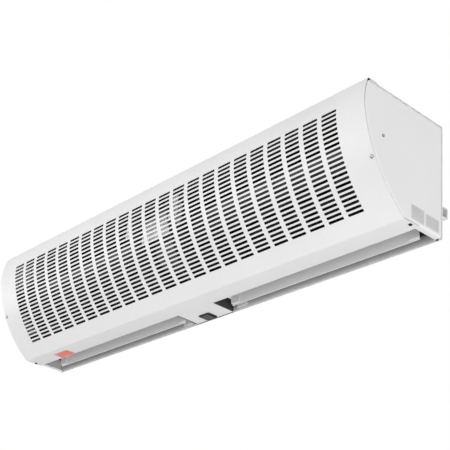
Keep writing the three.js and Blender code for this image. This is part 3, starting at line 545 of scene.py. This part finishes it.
def darkenInside(piece):
    # second material for the cover's inner face and its slots' cut edges, a near-black painted shade
    # so that the inside shows dark through the slots: faces with a corner that is off the outer
    # face's path, apart from the walls at both ends
    piece.data.materials.append(finishes["innerPaint"])
    mesh = piece.data
    points = np.empty(len(mesh.vertices) * 3, np.float32)
    mesh.vertices.foreach_get("co", points)
    points = points.reshape(-1, 3)
    path = coverLines()[0]
    outer = inMetres(np.column_stack([np.zeros(len(path)), path]))[:, 1:]
    apart = np.linalg.norm(points[:, None, 1:] - outer[None], axis=2).min(1) > 0.00005
    corners = np.empty(len(mesh.loops), np.int32)
    mesh.loops.foreach_get("vertex_index", corners)
    starts = np.empty(len(mesh.polygons), np.int32)
    mesh.polygons.foreach_get("loop_start", starts)
    totals = np.add.reduceat(apart[corners].astype(int), starts)
    counts = np.diff(np.append(starts, len(corners)))
    nearEnd = np.abs(points[corners[starts], 0]) > (halfLength - cover["endGap"] - 1) * 0.001
    inside = (totals == counts) | ((totals > 0) & ~nearEnd)
    mesh.polygons.foreach_set("material_index", inside.astype(np.int32))


frontPiece = makePiece("frontCover", [frontCover()], "whitePaint", stands="front_cover")
darkenInside(frontPiece)
print("front cover made")

# Side plates: a flat plate with a rounded bend into its flange, all round.
sidePlate = {"flange": 10, "bend": 2.8, "support": 0.7, "cornerRadius": 3.6, "curveSteps": 46}


def plateOutline(inset, top, rear, bottom):
    # the casing's section set back from the cover, top, back and underside
    arcs = np.linspace(0, coverArc, sidePlate["curveSteps"])
    curve, curveLean = onCover(arcs)
    curve = curve + np.stack([np.cos(curveLean), -np.sin(curveLean)], -1) * inset
    inside = curve[(curve[:, 1] < top - 2) & (curve[:, 1] > bottom + 2)]

    def atLevel(a, b, z):
        return a + (b - a) * (a[1] - z) / (a[1] - b[1])

    upper = atLevel(inside[0], inside[1], top)
    lower = atLevel(inside[-2], inside[-1], bottom)
    corners = np.vstack([[upper], inside, [lower], [(-rear, bottom)], [(-rear, top)]])
    radius = np.zeros(len(corners))
    radius[[0, len(inside) + 1, -2, -1]] = sidePlate["cornerRadius"]
    return roundCorners(corners, radius, 6, closed=True)


def makeSidePlate(word):
    # rings of one outline, pulled in by the bend: inset r(1 - sin f), depth r(1 - cos f)
    sign = signs[word]
    outline = plateOutline(seam, casing["height"] - 2 * seam, seam, seam)
    inward = sideNormals(outline, closed=True)
    bend, thick = sidePlate["bend"], sheet
    turn = np.linspace(0, np.pi / 2, 7)
    outside = [(bend + sidePlate["support"], 0)]
    outside += list(zip(bend * (1 - np.sin(turn)), bend * (1 - np.cos(turn))))
    insets, depths = (bend - thick) * (1 - np.sin(turn)), (bend - thick) * (1 - np.cos(turn))
    inside = [(thick, sidePlate["flange"])]
    inside += list(zip(thick + insets, thick + depths))[::-1]
    inside += [(bend + sidePlate["support"], thick)]
    levels = outside + [(0, sidePlate["flange"])] + inside
    rings = []
    for inset, depth in levels:
        x = np.full(len(outline), sign * (halfLength - depth))
        rings.append(np.column_stack([x, outline + inward * inset]))
    makePiece(f"sidePlate_{word}", [stackRings(rings)], "whitePaint", stands=f"side_plate_{word}")


for word in signs:
    makeSidePlate(word)
print("side plates made")

# Air ducts: the scroll behind and over each fan, and the stabiliser in front of it.
duct = {
    "scrollSheet": 1, "scrollRear": 68.2, "scrollEnd": 57, "scrollSweep": 130,
    "end": 439.7, "foot": 20, "crestGap": 5, "fanRadius": 50,
}


def scrollPath():
    # straight up the back, then a radius that shrinks evenly with the angle round the fan
    turn = np.linspace(0, duct["scrollSweep"], 66)
    rear, end = duct["scrollRear"], duct["scrollEnd"]
    radius = rear + (end - rear) * turn / duct["scrollSweep"]
    angle = np.radians(turn)
    spiral = np.column_stack([
        casing["axisY"] + radius * np.cos(angle), casing["axisZ"] + radius * np.sin(angle)
    ])
    return np.vstack([[(-seam, 2 * gap)], spiral])


def stabiliserPath():
    upright = lipEdge - seam
    crest = casing["axisZ"] - duct["fanRadius"] - duct["crestGap"]
    y = casing["axisY"]
    corners = [
        (upright - duct["foot"], seam), (upright, seam), (upright, crest * 0.5),
        ((upright + y) / 2, crest * 0.84), (y, crest), (y - 12, crest - 1.5), (y - 18, crest - 9),
    ]
    return roundCorners(corners, [0, 1.6, 9, 9, 9, 5, 0], 7)


for word, sign in signs.items():
    ends = [casing["bayNear"][word] + sign * gap, sign * duct["end"]]
    thick = duct["scrollSheet"]
    scroll = extrude(sheetOutline(scrollPath(), thick), ends)
    wall = extrude(sheetOutline(stabiliserPath(), thick), ends)
    makePiece(f"scrollSheet_{word}", [scroll], "ductZinc", stands=f"scroll_{word}")
    makePiece(f"stabiliserSheet_{word}", [wall], "dullZinc", stands=f"stabiliser_{word}")
print("air ducts made")

# Fans: three discs joined by curved blades, and what carries them.
fan = {
    "radius": 50, "blades": 24, "bladeWidth": 10, "bladeInset": 0.8, "sweep": 13,
    "thickness": 0.9, "disc": 2, "inset": 15, "farEnd": 423.8, "hub": 15, "shaft": 4,
    "bearing": 8, "bearingSeat": 14.3, "bushBore": 4.3, "bushHalf": 4, "webFace": 434.8,
    "stubEnd": 439.8, "flangeRadius": 12, "flangeDepth": 2,
}


def bladeOutline(start):
    # the middle line bows forward: its angle runs back by sweep * share^1.7 from root to tip;
    # both faces lie half the thickness to its sides
    share = np.linspace(0, 1, 7)
    root, tip = fan["radius"] - fan["bladeWidth"], fan["radius"] - fan["bladeInset"]
    radius = root + (tip - root) * share
    angle = start - math.radians(fan["sweep"]) * share**1.7
    line = np.column_stack([radius * np.cos(angle), radius * np.sin(angle)])
    offset = sideNormals(line) * fan["thickness"] / 2
    outline = np.vstack([line - offset, (line + offset)[::-1]])
    return outline + (casing["axisY"], casing["axisZ"])


def discRing(outer, inner, x, otherX):
    # a flat ring whose rims are eased
    low, high = min(x, otherX), max(x, otherX)
    ease = 0.25
    profile = [
        (inner + ease, low), (outer - ease, low), (outer, low + ease), (outer, high - ease),
        (outer - ease, high), (inner + ease, high), (inner, high - ease), (inner, low + ease),
    ]
    return turnRound(profile, 72)


def easedProfile(corners, radius=0.4, steps=4):
    return roundCorners(corners, radius, steps, closed=True)


def ringProfile(bore, rim, half, middle=0):
    corners = [(bore, -half), (rim, -half), (rim, half), (bore, half)]
    return easedProfile(corners) + (0, middle)


def grippingRing(bore, seat, plate, middle, reach=3):
    # a rubber ring round the edge of a hole: two flanges with a groove between them
    flange, inside = seat + 3, plate / 2 + gap
    outside = inside + reach
    corners = [
        (bore, -outside), (flange, -outside), (flange, -inside), (seat, -inside),
        (seat, inside), (flange, inside), (flange, outside), (bore, outside),
    ]
    return easedProfile(corners, 0.28) + (0, middle)


for word, sign in signs.items():
    near = casing["bayNear"][word] + sign * fan["inset"]
    far = sign * fan["farEnd"]
    middle, half = (near + far) / 2, fan["disc"] / 2
    turns = np.arange(fan["blades"]) * (2 * np.pi / fan["blades"])
    blades = [extrude(bladeOutline(turn), [near + sign * half, far - sign * half]) for turn in turns]
    discs = [
        discRing(fan["radius"], fan["hub"] + gap, near, near + sign * fan["disc"]),
        discRing(fan["radius"], fan["radius"] - fan["bladeWidth"] - 3, middle - half, middle + half),
        discRing(fan["radius"], fan["shaft"] + gap, far, far - sign * fan["disc"]),
    ]
    makePiece(f"fanWheel_{word}", blades + discs, "fanAluminium", "rotor", f"impeller_{word}")
    hub = grippingRing(fan["shaft"] + gap, fan["hub"], fan["disc"], near + sign * half)
    makePiece(f"fanHub_{word}", [turnRound(hub)], "blackRubber", "rotor", f"hub_{word}")
    disc = fan["farEnd"] - fan["disc"] - gap
    rim, back = fan["flangeRadius"], disc - fan["flangeDepth"]
    shaft, end = fan["shaft"], fan["stubEnd"]
    journal = np.array([
        (0, back), (rim - 0.4, back), (rim, back + 0.4), (rim, disc), (shaft, disc),
        (shaft, end - 0.6), (shaft - 0.6, end), (0, end),
    ])
    stub = turnRound(journal * (1, sign), closed=False)
    makePiece(f"fanJournal_{word}", [stub], "brightSteel", "rotor", f"stub_shaft_{word}")
    web = sign * (fan["webFace"] - sheet / 2)
    bush = ringProfile(fan["bushBore"], fan["bearing"], fan["bushHalf"], web)
    makePiece(f"bearingBush_{word}", [turnRound(bush)], "bronze", stands=f"bearing_bush_{word}")
    seat = grippingRing(fan["bearing"] + gap, fan["bearingSeat"], sheet, web)
    stands = f"bearing_rubber_{word}"
    makePiece(f"bearingSeat_{word}", [turnRound(seat)], "blackRubber", stands=stands)
print("fans made")

# Motor between the fans.
motor = {
    "middle": -5, "radius": 46, "wall": 1.5, "length": 56, "boss": 18, "dome": 9, "bay": 44,
    "bossReach": 3, "bore": 4.3, "shaft": 4, "stackHalf": 22, "statorBore": 26.6,
    "statorRadius": 44.2, "coreRadius": 26,
}


def canProfile():
    # a drawn can with a rolled bead near each end
    half, outer, inner = motor["length"] / 2, motor["radius"], motor["radius"] - motor["wall"]
    corners = [
        (inner, -half), (outer, -half), (outer, -half + 4), (outer - 0.5, -half + 5),
        (outer - 0.5, half - 5), (outer, half - 4), (outer, half), (inner, half),
    ]
    return roundCorners(corners, 0.35, 4, closed=True)


def bellProfile():
    rim = motor["length"] / 2 + gap
    shoulder, end = rim + motor["dome"], motor["bay"] + motor["bossReach"] + 2 * gap
    radius, boss, bore = motor["radius"], motor["boss"], motor["bore"]
    corners = [
        (radius - motor["wall"], rim), (radius, rim), (radius, rim + 2.7),
        (radius * 0.86, rim + 6.75),
        (boss + 6, shoulder), (boss, shoulder), (boss, end), (bore, end), (bore, shoulder - 2),
        (boss + 4, shoulder - 2), (radius * 0.86 - 2, rim + 4.75),
    ]
    return roundCorners(corners, [0.2, 0.3, 1.2, 3, 1.5, 0.8, 0.6, 0.3, 0, 1.5, 2], 5, closed=True)


def onMotor(profile):
    return turnRound(profile, 80, (motor["middle"], *axisSpot[1:]))


makePiece("motorCan", [onMotor(canProfile())], "motorAluminium", stands="motor_can")
for word, sign in signs.items():
    bell = onMotor(bellProfile() * (1, sign))
    makePiece(f"motorBell_{word}", [bell], "motorAluminium", stands=f"end_bell_{word}")
    near = casing["bayNear"][word]
    seat = grippingRing(motor["boss"] + gap, motor["boss"] + gap + 5, sheet, near - sign * sheet / 2)
    makePiece(f"motorSeat_{word}", [turnRound(seat, 64)], "blackRubber", stands=f"motor_ring_{word}")
stator = ringProfile(motor["statorBore"], motor["statorRadius"], motor["stackHalf"])
makePiece("motorStack", [onMotor(stator)], "coreSteel", stands="motor_stator")
core = ringProfile(motor["bore"], motor["coreRadius"], motor["stackHalf"])
makePiece("motorCore", [onMotor(core)], "coreSteel", "rotor", "motor_rotor_core")
shaftLow, shaftHigh = (corner[0] * 1000 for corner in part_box("motor_shaft"))
rim, ease = motor["shaft"], 0.5
shaft = [
    (0, shaftLow), (rim - ease, shaftLow), (rim, shaftLow + ease),
    (rim, shaftHigh - ease), (rim - ease, shaftHigh), (0, shaftHigh),
]
makePiece("motorShaft", [turnRound(shaft, closed=False)], "brightSteel", "rotor", "motor_shaft")

# Sheet metal bent over the front of the motor.
motorShield = {
    "radius": 72, "flange": 8, "thickness": 1, "start": -39, "end": 36, "bend": 1.6,
    "firstAngle": -12, "lastAngle": 46, "steps": 30,
}


def shieldSurface():
    # an angle section, flange towards the shaft, swept round the motor's axis between two angles:
    # (x, axisY - r cos a, axisZ + r sin a)
    start, radius = motorShield["start"], motorShield["radius"]
    path = [(start, radius - motorShield["flange"]), (start, radius), (motorShield["end"], radius)]
    path = roundCorners(path, [0, motorShield["bend"], 0], 6)
    section = sheetOutline(path, -motorShield["thickness"])
    first, last = motorShield["firstAngle"], motorShield["lastAngle"]
    angle = np.radians(np.linspace(first, last, motorShield["steps"]))
    rings = np.empty((len(angle), len(section), 3))
    rings[..., 0] = section[:, 0]
    rings[..., 1] = casing["axisY"] - section[:, 1] * np.cos(angle)[:, None]
    rings[..., 2] = casing["axisZ"] + section[:, 1] * np.sin(angle)[:, None]
    return stackRings(rings)


# the shield's pale zinc is painted light, so that it shows bright through the slots
makePiece("motorShield", [shieldSurface()], "brightZinc")

# An angle on each bay plate, just behind the middle of the cover.
coverRest = {
    "front": -152, "depth": 24, "reach": 20, "low": 104, "high": 142, "thickness": 1,
    "bend": 1.4, "clear": 0.4,
}


def restSurface(word):
    # an angle section seen from above, (x, y), repeated at two levels of Z
    sign, near = signs[word], casing["bayNear"][word]
    start, front = near + sign * coverRest["clear"], coverRest["front"]
    path = [(start, front + coverRest["depth"]), (start, front)]
    path += [(start + sign * coverRest["reach"], front)]
    path = roundCorners(path, [0, coverRest["bend"], 0], 6)
    section = sheetOutline(path, sign * coverRest["thickness"])
    levels = coverRest["low"], coverRest["high"]
    return stackRings([np.column_stack([section, np.full(len(section), z)]) for z in levels])


for word in signs:
    # pale zinc: painted light
    makePiece(f"coverRest_{word}", [restSurface(word)], "brightZinc")
print("motor made")

# Vanes: an upright blade with a hem along its upper edge, leaning on its pivot line.
vane = {"chord": 36, "hem": 3, "pivotY": -18.5, "pivotZ": 20, "lean": 9, "far": 423.8, "inset": 14}


def vaneOutline():
    half, hem = vane["chord"] / 2, vane["hem"]
    corners = [
        (0, -half), (sheet / 2, -half + 1), (sheet / 2, half - hem),
        (sheet, half - hem), (sheet, half), (-sheet / 2, half), (-sheet / 2, -half + 0.2),
    ]
    outline = roundCorners(corners, [0.2, 0.8, 0.2, 0.2, 0.5, 0.7, 0.2], 5, closed=True)
    turn = math.radians(vane["lean"])
    y = outline[:, 0] * math.cos(turn) - outline[:, 1] * math.sin(turn)
    z = outline[:, 0] * math.sin(turn) + outline[:, 1] * math.cos(turn)
    return np.column_stack([vane["pivotY"] + y, vane["pivotZ"] + z])


for word, sign in signs.items():
    ends = [casing["bayNear"][word] + sign * vane["inset"], sign * vane["far"]]
    blade = extrude(vaneOutline(), ends)
    makePiece(f"vaneBlade_{word}", [blade], "vanePaint", f"{word}_vane", f"vane_{word}")
print("vanes made")

# Screws: a pan head with a cross recess, on a short shank.
screw = {
    "head": 2.2, "height": 1.6, "shank": 1.5, "length": 7, "smallHead": 1.7, "lipHead": 2.3,
    "ring": 0.6, "ringHeight": 0.28, "rings": 14, "sides": 48, "rim": 0.35, "armWidth": 0.13,
    "armLength": 0.56, "end": 444.5, "frontArc": 117, "lipInset": 15, "topSpot": (330, -146),
    "sideY": -122.7,
}


def screwSurface(spot, out, head):
    # height over the seat = rim + (top - rim) * (1 - share^2)^0.5; the cross cuts it to a floor
    # that rises from the middle to the arms' ends
    rim, top = screw["height"] * screw["rim"], screw["height"]
    share = np.linspace(0, 1, screw["rings"])[:, None]
    angle = (np.arange(screw["sides"]) * (2 * np.pi / screw["sides"]))[None, :]
    height = rim + (top - rim) * np.sqrt(np.clip(1 - share**2, 0, 1))
    x, y = share * np.cos(angle), share * np.sin(angle)
    across, along = np.minimum(np.abs(x), np.abs(y)), np.maximum(np.abs(x), np.abs(y))
    inArm = (across < screw["armWidth"]) & (along < screw["armLength"])
    floor = top * (0.35 + 0.5 * share)
    height = np.where(inArm, np.minimum(height, floor), height + 0 * angle)
    radius = np.broadcast_to(share * head, height.shape)
    shank, foot = screw["shank"], -screw["length"]
    low = np.array([(head, 0.0), (shank, 0.0), (shank, foot), (0, foot)])
    radius = np.vstack([radius, np.repeat(low[:, :1], screw["sides"], 1)])
    height = np.vstack([height, np.repeat(low[:, 1:], screw["sides"], 1)])
    out = unit(out)
    points = np.asarray(spot) + out * gap + height[..., None] * out
    points = points + radius[..., None] * wheelRound(out, angle)
    return points.reshape(-1, 3), gridFaces(len(radius), screw["sides"], False, True), []


frontSpot, frontLean = onCover(screw["frontArc"])
frontOut = (0, -math.cos(frontLean), math.sin(frontLean))
screwPlaces = {
    "front": ((screw["end"], *frontSpot), frontOut, screw["head"], "brightSteel"),
    "lip": (
        (screw["end"], lipEdge - screw["lipInset"], 0), (0, 0, -1), screw["lipHead"], "blackScrew"
    ),
    "top": ((*screw["topSpot"], casing["height"]), (0, 0, 1), screw["head"], "brightSteel"),
}


def screwRing(spot, out, head):
    # a thin dark ring of black rubber round the head
    hole, rim, top = screw["shank"] + 0.1, head + screw["ring"], screw["ringHeight"]
    profile = easedProfile([(hole, 0.02), (rim, 0.02), (rim, top), (hole, top)], 0.08)
    return turnRound(profile, 40, spot, out)


for word, sign in signs.items():
    for place, (spot, out, head, finish) in screwPlaces.items():
        spot = np.array(spot) * (sign, 1, 1)
        surface = screwSurface(spot, out, head)
        stands = f"cover_screw_{place}_{word}"
        makePiece(f"coverScrew_{place}_{word}", [surface], finish, stands=stands)
        makePiece(f"screwRing_{place}_{word}", [screwRing(spot, out, head)], "blackRubber")
    spot, out = (sign * halfLength, screw["sideY"], casing["axisZ"]), (sign, 0, 0)
    head = screw["smallHead"]
    side = screwSurface(spot, out, head)
    makePiece(f"sideScrew_{word}", [side], "darkSteel", stands=f"side_screw_{word}")
    makePiece(f"screwRing_side_{word}", [screwRing(spot, out, head)], "blackRubber")
print("screws made")

# Rocker switch.
switch = {
    "x": -8.4, "y": -14.1, "face": -0.6, "bezel": (24.7, 19.7, 1.8), "body": (22.3, 17.3, 22),
    "pocket": (20.1, 15.1, 8), "pivot": 2, "crest": 3.2, "dip": 2.2, "top": 3.4, "topHalf": 7,
}


def switchHousing():
    # rounded rectangles one inside another, from the pocket's floor out over the bezel and up
    face = switch["face"]
    (long, wide, thick), (bodyLong, bodyWide, depth) = switch["bezel"], switch["body"]
    pocketLong, pocketWide, pocketDepth = switch["pocket"]
    levels = [
        (pocketLong, pocketWide, 0.8, face + pocketDepth), (pocketLong, pocketWide, 0.8, face + 0.5),
        (pocketLong + 0.8, pocketWide + 0.8, 1.0, face), (long - 1.4, wide - 1.4, 1.2, face),
        (long - 0.6, wide - 0.6, 1.5, face + 0.2), (long, wide, 1.8, face + 0.75),
        (long, wide, 1.8, face + thick), (bodyLong, bodyWide, 0.8, face + thick),
        (bodyLong, bodyWide, 0.8, face + thick + depth),
    ]
    rings = []
    for w, d, radius, z in levels:
        outline = roundedRectangle(w, d, radius, 6) + (switch["x"], switch["y"])
        rings.append(np.column_stack([outline, np.full(len(outline), z)]))
    return stackRings(rings)


def rockerSurface():
    # a hollowed face between two crests; its outline shrinks over the last half millimetre
    reach = switch["pocket"][0] / 2 - 1.5 * gap
    half = math.sqrt(reach**2 - switch["crest"] ** 2)
    share = np.linspace(-1, 1, 17)
    hollow = switch["dip"] + (switch["crest"] - switch["dip"]) * share**2
    face = np.column_stack([half * share, -hollow])
    top = [(switch["topHalf"], switch["top"]), (-switch["topHalf"], switch["top"])]
    outline = np.vstack([face, top])
    inward = sideNormals(outline, closed=True)
    width = switch["pocket"][1] / 2 - gap
    levels = [(0.5, width), (0.2, width - 0.08), (0.04, width - 0.25), (0, width - 0.55)]
    levels += [(inset, -y) for inset, y in levels[::-1]]
    rings = []
    for inset, y in levels:
        ring = outline + inward * inset
        rings.append(np.column_stack([
            ring[:, 0] + switch["x"], np.full(len(ring), switch["y"] + y),
            ring[:, 1] + switch["face"] + switch["pivot"],
        ]))
    return stackRings(rings)


makePiece("switchHousing", [switchHousing()], "blackPlastic", stands="switch_body")
makePiece("switchRocker", [rockerSurface()], "greyPlastic", "switch_rocker", "rocker")
print("switch made")

# Run capacitor, its nut and the cable grommet.
wiring = {
    "canRadius": 13, "canLength": 48, "stud": 3, "nutBore": 3.6, "nut": 6,
    "cordBore": 5, "grommet": 8, "grommetSpot": (24, 17),
}


def canSurface(low, high, spot):
    # the stud, the can's shoulder and the bead that closes its far end
    radius, stud, start = wiring["canRadius"], wiring["stud"], high - wiring["canLength"]
    profile = [
        (0, low), (stud - 0.4, low), (stud, low + 0.4), (stud, start), (radius - 1.2, start),
        (radius, start + 1.2), (radius, high - 3), (radius - 0.6, high - 2.4),
        (radius - 0.6, high - 1.2), (radius - 1.6, high), (0, high),
    ]
    return turnRound(profile, 48, spot, closed=False)


shift = np.array((0, casing["originY"], casing["originZ"]))
capLow, capHigh = (np.array(corner) * 1000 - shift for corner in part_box("capacitor"))
nutLow, nutHigh = (corner[0] * 1000 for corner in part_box("capacitor_nut"))
capSpot = (0, (capLow[1] + capHigh[1]) / 2, (capLow[2] + capHigh[2]) / 2)
can = canSurface(capLow[0], capHigh[0], capSpot)
makePiece("capacitorCan", [can], "whitePlastic", stands="capacitor")
bore, rim = wiring["nutBore"], wiring["nut"]
nut = easedProfile([(bore, nutLow), (rim, nutLow), (rim, nutHigh), (bore, nutHigh)], 0.3)
nut = turnRound(nut, 6, capSpot)
makePiece("capacitorNut", [nut], "brightSteel", stands="capacitor_nut", crease=25)
grommetX, grommetZ = wiring["grommetSpot"]
grommet = grippingRing(wiring["cordBore"], wiring["grommet"], sheet, 0)
grommet = turnRound(grommet, 48, (grommetX, -sheet / 2, grommetZ), (0, 1, 0))
makePiece("cableGrommet", [grommet], "blackRubber", stands="cable_grommet")
print("wiring made")

# Blank plates on the right side and a blank label on the lip, each with a field inside a border.
label = {"thickness": 0.2, "corner": 1, "border": 1.5}
onSide = {"across": (0, 1, 0), "along": (0, 0, 1), "out": (1, 0, 0)}
onLip = {"across": (1, 0, 0), "along": (0, 1, 0), "out": (0, 0, -1)}
plates = {
    "ratingPlate": ((halfLength, -51.7, 16), (26.8, 21.6), onSide, "paleFilm", "greyFilm"),
    "noticePlate": ((halfLength, -22, 15.3), (27.5, 18.8), onSide, "paleFilm", "greyFilm"),
    "lipLabel": ((-355.4, -56.6, 0), (42.4, 20), onLip, "pinkFilm", "redFilm"),
}


def thinPlate(size, spot, thickness, axes):
    # a rounded rectangle on a flat face, its edge eased over its thickness
    across, along, out = (np.asarray(axes[way], float) for way in ("across", "along", "out"))
    rings = []
    for inset, height in [(0, 0.0), (0, thickness * 0.6), (0.15, thickness)]:
        width, depth = size[0] - 2 * inset, size[1] - 2 * inset
        outline = roundedRectangle(width, depth, label["corner"], 5)
        points = spot + outline[:, :1] * across + outline[:, 1:] * along
        rings.append(points + out * height)
    return stackRings(rings)


for name, (spot, size, axes, finish, fieldFinish) in plates.items():
    spot, size, thickness = np.array(spot, float), np.array(size, float), label["thickness"]
    makePiece(name, [thinPlate(size, spot, thickness, axes)], finish)
    spot, size = spot + np.array(axes["out"]) * thickness, size - 2 * label["border"]
    makePiece(f"{name}Field", [thinPlate(size, spot, thickness / 2, axes)], fieldFinish)
print("blank labels made")

# CAD nodes that stay: their finish, and a small radius along their edges.
keptNodes = {
    "rear_shell": ("shellPaint", 0.5), "wall_rail": ("whitePaint", 0.4),
    "switch_panel": ("whitePaint", 0.4), "terminal_block": ("whitePlastic", 0.25),
    "motor_lead": ("blackPlastic", 0), "switch_lead": ("blackPlastic", 0),
}
for word in signs:
    keptNodes.update({
        f"wall_hanger_{word}": ("galvanised", 0.35), f"bay_plate_{word}": ("dullZinc", 0.3),
        f"bearing_bracket_{word}": ("dullZinc", 0.3),
    })
    for place in ("inner", "outer"):
        keptNodes[f"vane_clip_{word}_{place}"] = ("brightZinc", 0.25)
        # inner brackets take the lit copy of the zinc and outer ones the shaded copy: painted light
        # and painted shade
        zinc = "brightZinc" if place == "inner" else "dullZinc"
        keptNodes[f"vane_bracket_{word}_{place}"] = (zinc, 0.25)


def dressNode(name, finish, ease):
    node = nodes[name]
    node.data.materials.clear()
    node.data.materials.append(finishes[finish])
    weld = node.modifiers.new("weld", "WELD")
    weld.merge_threshold = 0.000002
    if ease:
        bevel = node.modifiers.new("ease", "BEVEL")
        bevel.width, bevel.segments = ease * 0.001, 2
        bevel.limit_method, bevel.angle_limit = "ANGLE", math.radians(40)


for name, (finish, ease) in keptNodes.items():
    dressNode(name, finish, ease)
hiddenFinishes = {
    "front_cover": "whitePaint", "rocker": "greyPlastic", "switch_body": "blackPlastic",
}
for name, node in nodes.items():
    if name not in keptNodes:
        node.data.materials.clear()
        node.data.materials.append(finishes[hiddenFinishes.get(name, "galvanised")])
print("nodes dressed:", len(keptNodes))

# Camera, floor, world and lamps.
camera = {
    "eye": (1.2510, -1.0319, -0.7082), "turn": (0.9850, 0.5332, -0.7040), "focal": 1084.12,
    "picture": 450, "sensor": 36,
}
studio = {
    "floorLevel": -2.6, "floorSize": 30, "floorColour": (0.80, 0.80, 0.80), "ambient": 0.25,
    "target": (0, -0.08, 0.04),
    "lamps": {
        "frontLeft": ((-2.6, -2.4, 1.6), (2.6, 2.6), 16),
        "frontHigh": ((0.3, -2.4, 2.2), (3.0, 2.0), 36),
        "frontRight": ((3.0, -1.6, -1.4), (2.2, 2.2), 43),
        "sheen": ((-1.9, -2.5, -0.05), (2.8, 0.7), 26),
        "side": ((3.4, 0.3, -0.1), (2.2, 2.2), 30),
        "below": ((0.3, -0.4, -2.4), (4.0, 1.6), 29),
        "rear": ((-0.9, 2.6, 1.6), (1.6, 1.6), 60),
    },
}


def turnMatrix(turn):
    # rotation about the vector's direction by its length: I + sin K + (1 - cos) K^2
    turn = np.asarray(turn, float)
    angle = np.linalg.norm(turn)
    x, y, z = turn / angle
    cross = np.array([(0, -z, y), (z, 0, -x), (-y, x, 0)])
    return np.eye(3) + math.sin(angle) * cross + (1 - math.cos(angle)) * cross @ cross


def addCamera():
    right, down, forward = turnMatrix(camera["turn"])
    data = bpy.data.cameras.new("camera")
    data.sensor_width = camera["sensor"]
    data.lens = camera["focal"] * camera["sensor"] / camera["picture"]
    data.clip_start, data.clip_end = 0.01, 100
    view = bpy.data.objects.new("camera", data)
    bpy.context.scene.collection.objects.link(view)
    axes = np.column_stack([right, -down, -forward])
    place = Matrix([(*axes[row], camera["eye"][row]) for row in range(3)] + [(0, 0, 0, 1)])
    view.matrix_world = place
    bpy.context.scene.camera = view


def addLamp(name, spot, size, power):
    data = bpy.data.lights.new(name, "AREA")
    data.shape, data.size, data.size_y, data.energy = "RECTANGLE", size[0], size[1], power
    lamp = bpy.data.objects.new(name, data)
    bpy.context.scene.collection.objects.link(lamp)
    back = unit(np.array(spot) - np.array(studio["target"]))
    side = unit(np.cross((0, 0, 1), back))
    axes = np.column_stack([side, np.cross(back, side), back])
    lamp.matrix_world = Matrix([(*axes[row], spot[row]) for row in range(3)] + [(0, 0, 0, 1)])


def addFloor():
    half, level = studio["floorSize"] / 2, studio["floorLevel"]
    mesh = bpy.data.meshes.new("floor")
    corners = [(-half, -half, level), (half, -half, level), (half, half, level), (-half, half, level)]
    mesh.from_pydata(corners, [], [(0, 1, 2, 3)])
    material, tree, shader = startMaterial("floorMatt", Roughness=0.9)
    tone = studio["floorColour"]
    colour = ramp(tree, noise(tree, 2, 3), (0.3, tuple(0.985 * c for c in tone)), (0.7, tone))
    tree.links.new(colour, shader.inputs["Base Color"])
    mesh.materials.append(material)
    floor = bpy.data.objects.new("floor", mesh)
    bpy.context.scene.collection.objects.link(floor)


def addWorld():
    # white where the camera, metal and glass see it, and an even softer level as light
    world = bpy.data.worlds.new("studio")
    bpy.context.scene.world = world
    world.use_nodes = True
    tree = world.node_tree
    background = tree.nodes["Background"]
    background.inputs["Color"].default_value = (1, 1, 1, 1)
    rays = addNode(tree, "ShaderNodeLightPath")
    seen = rays.outputs["Is Camera Ray"]
    for other in ("Is Glossy Ray", "Is Transmission Ray"):
        seen = calculate(tree, "MAXIMUM", seen, rays.outputs[other])
    level = spread(tree, seen, studio["ambient"], 1.0, 0, 1)
    tree.links.new(level, background.inputs["Strength"])


addCamera()
for name, (spot, size, power) in studio["lamps"].items():
    addLamp(name, spot, size, power)
addFloor()
addWorld()
bpy.context.scene.view_settings.view_transform = "Standard"
print("camera and lights placed")
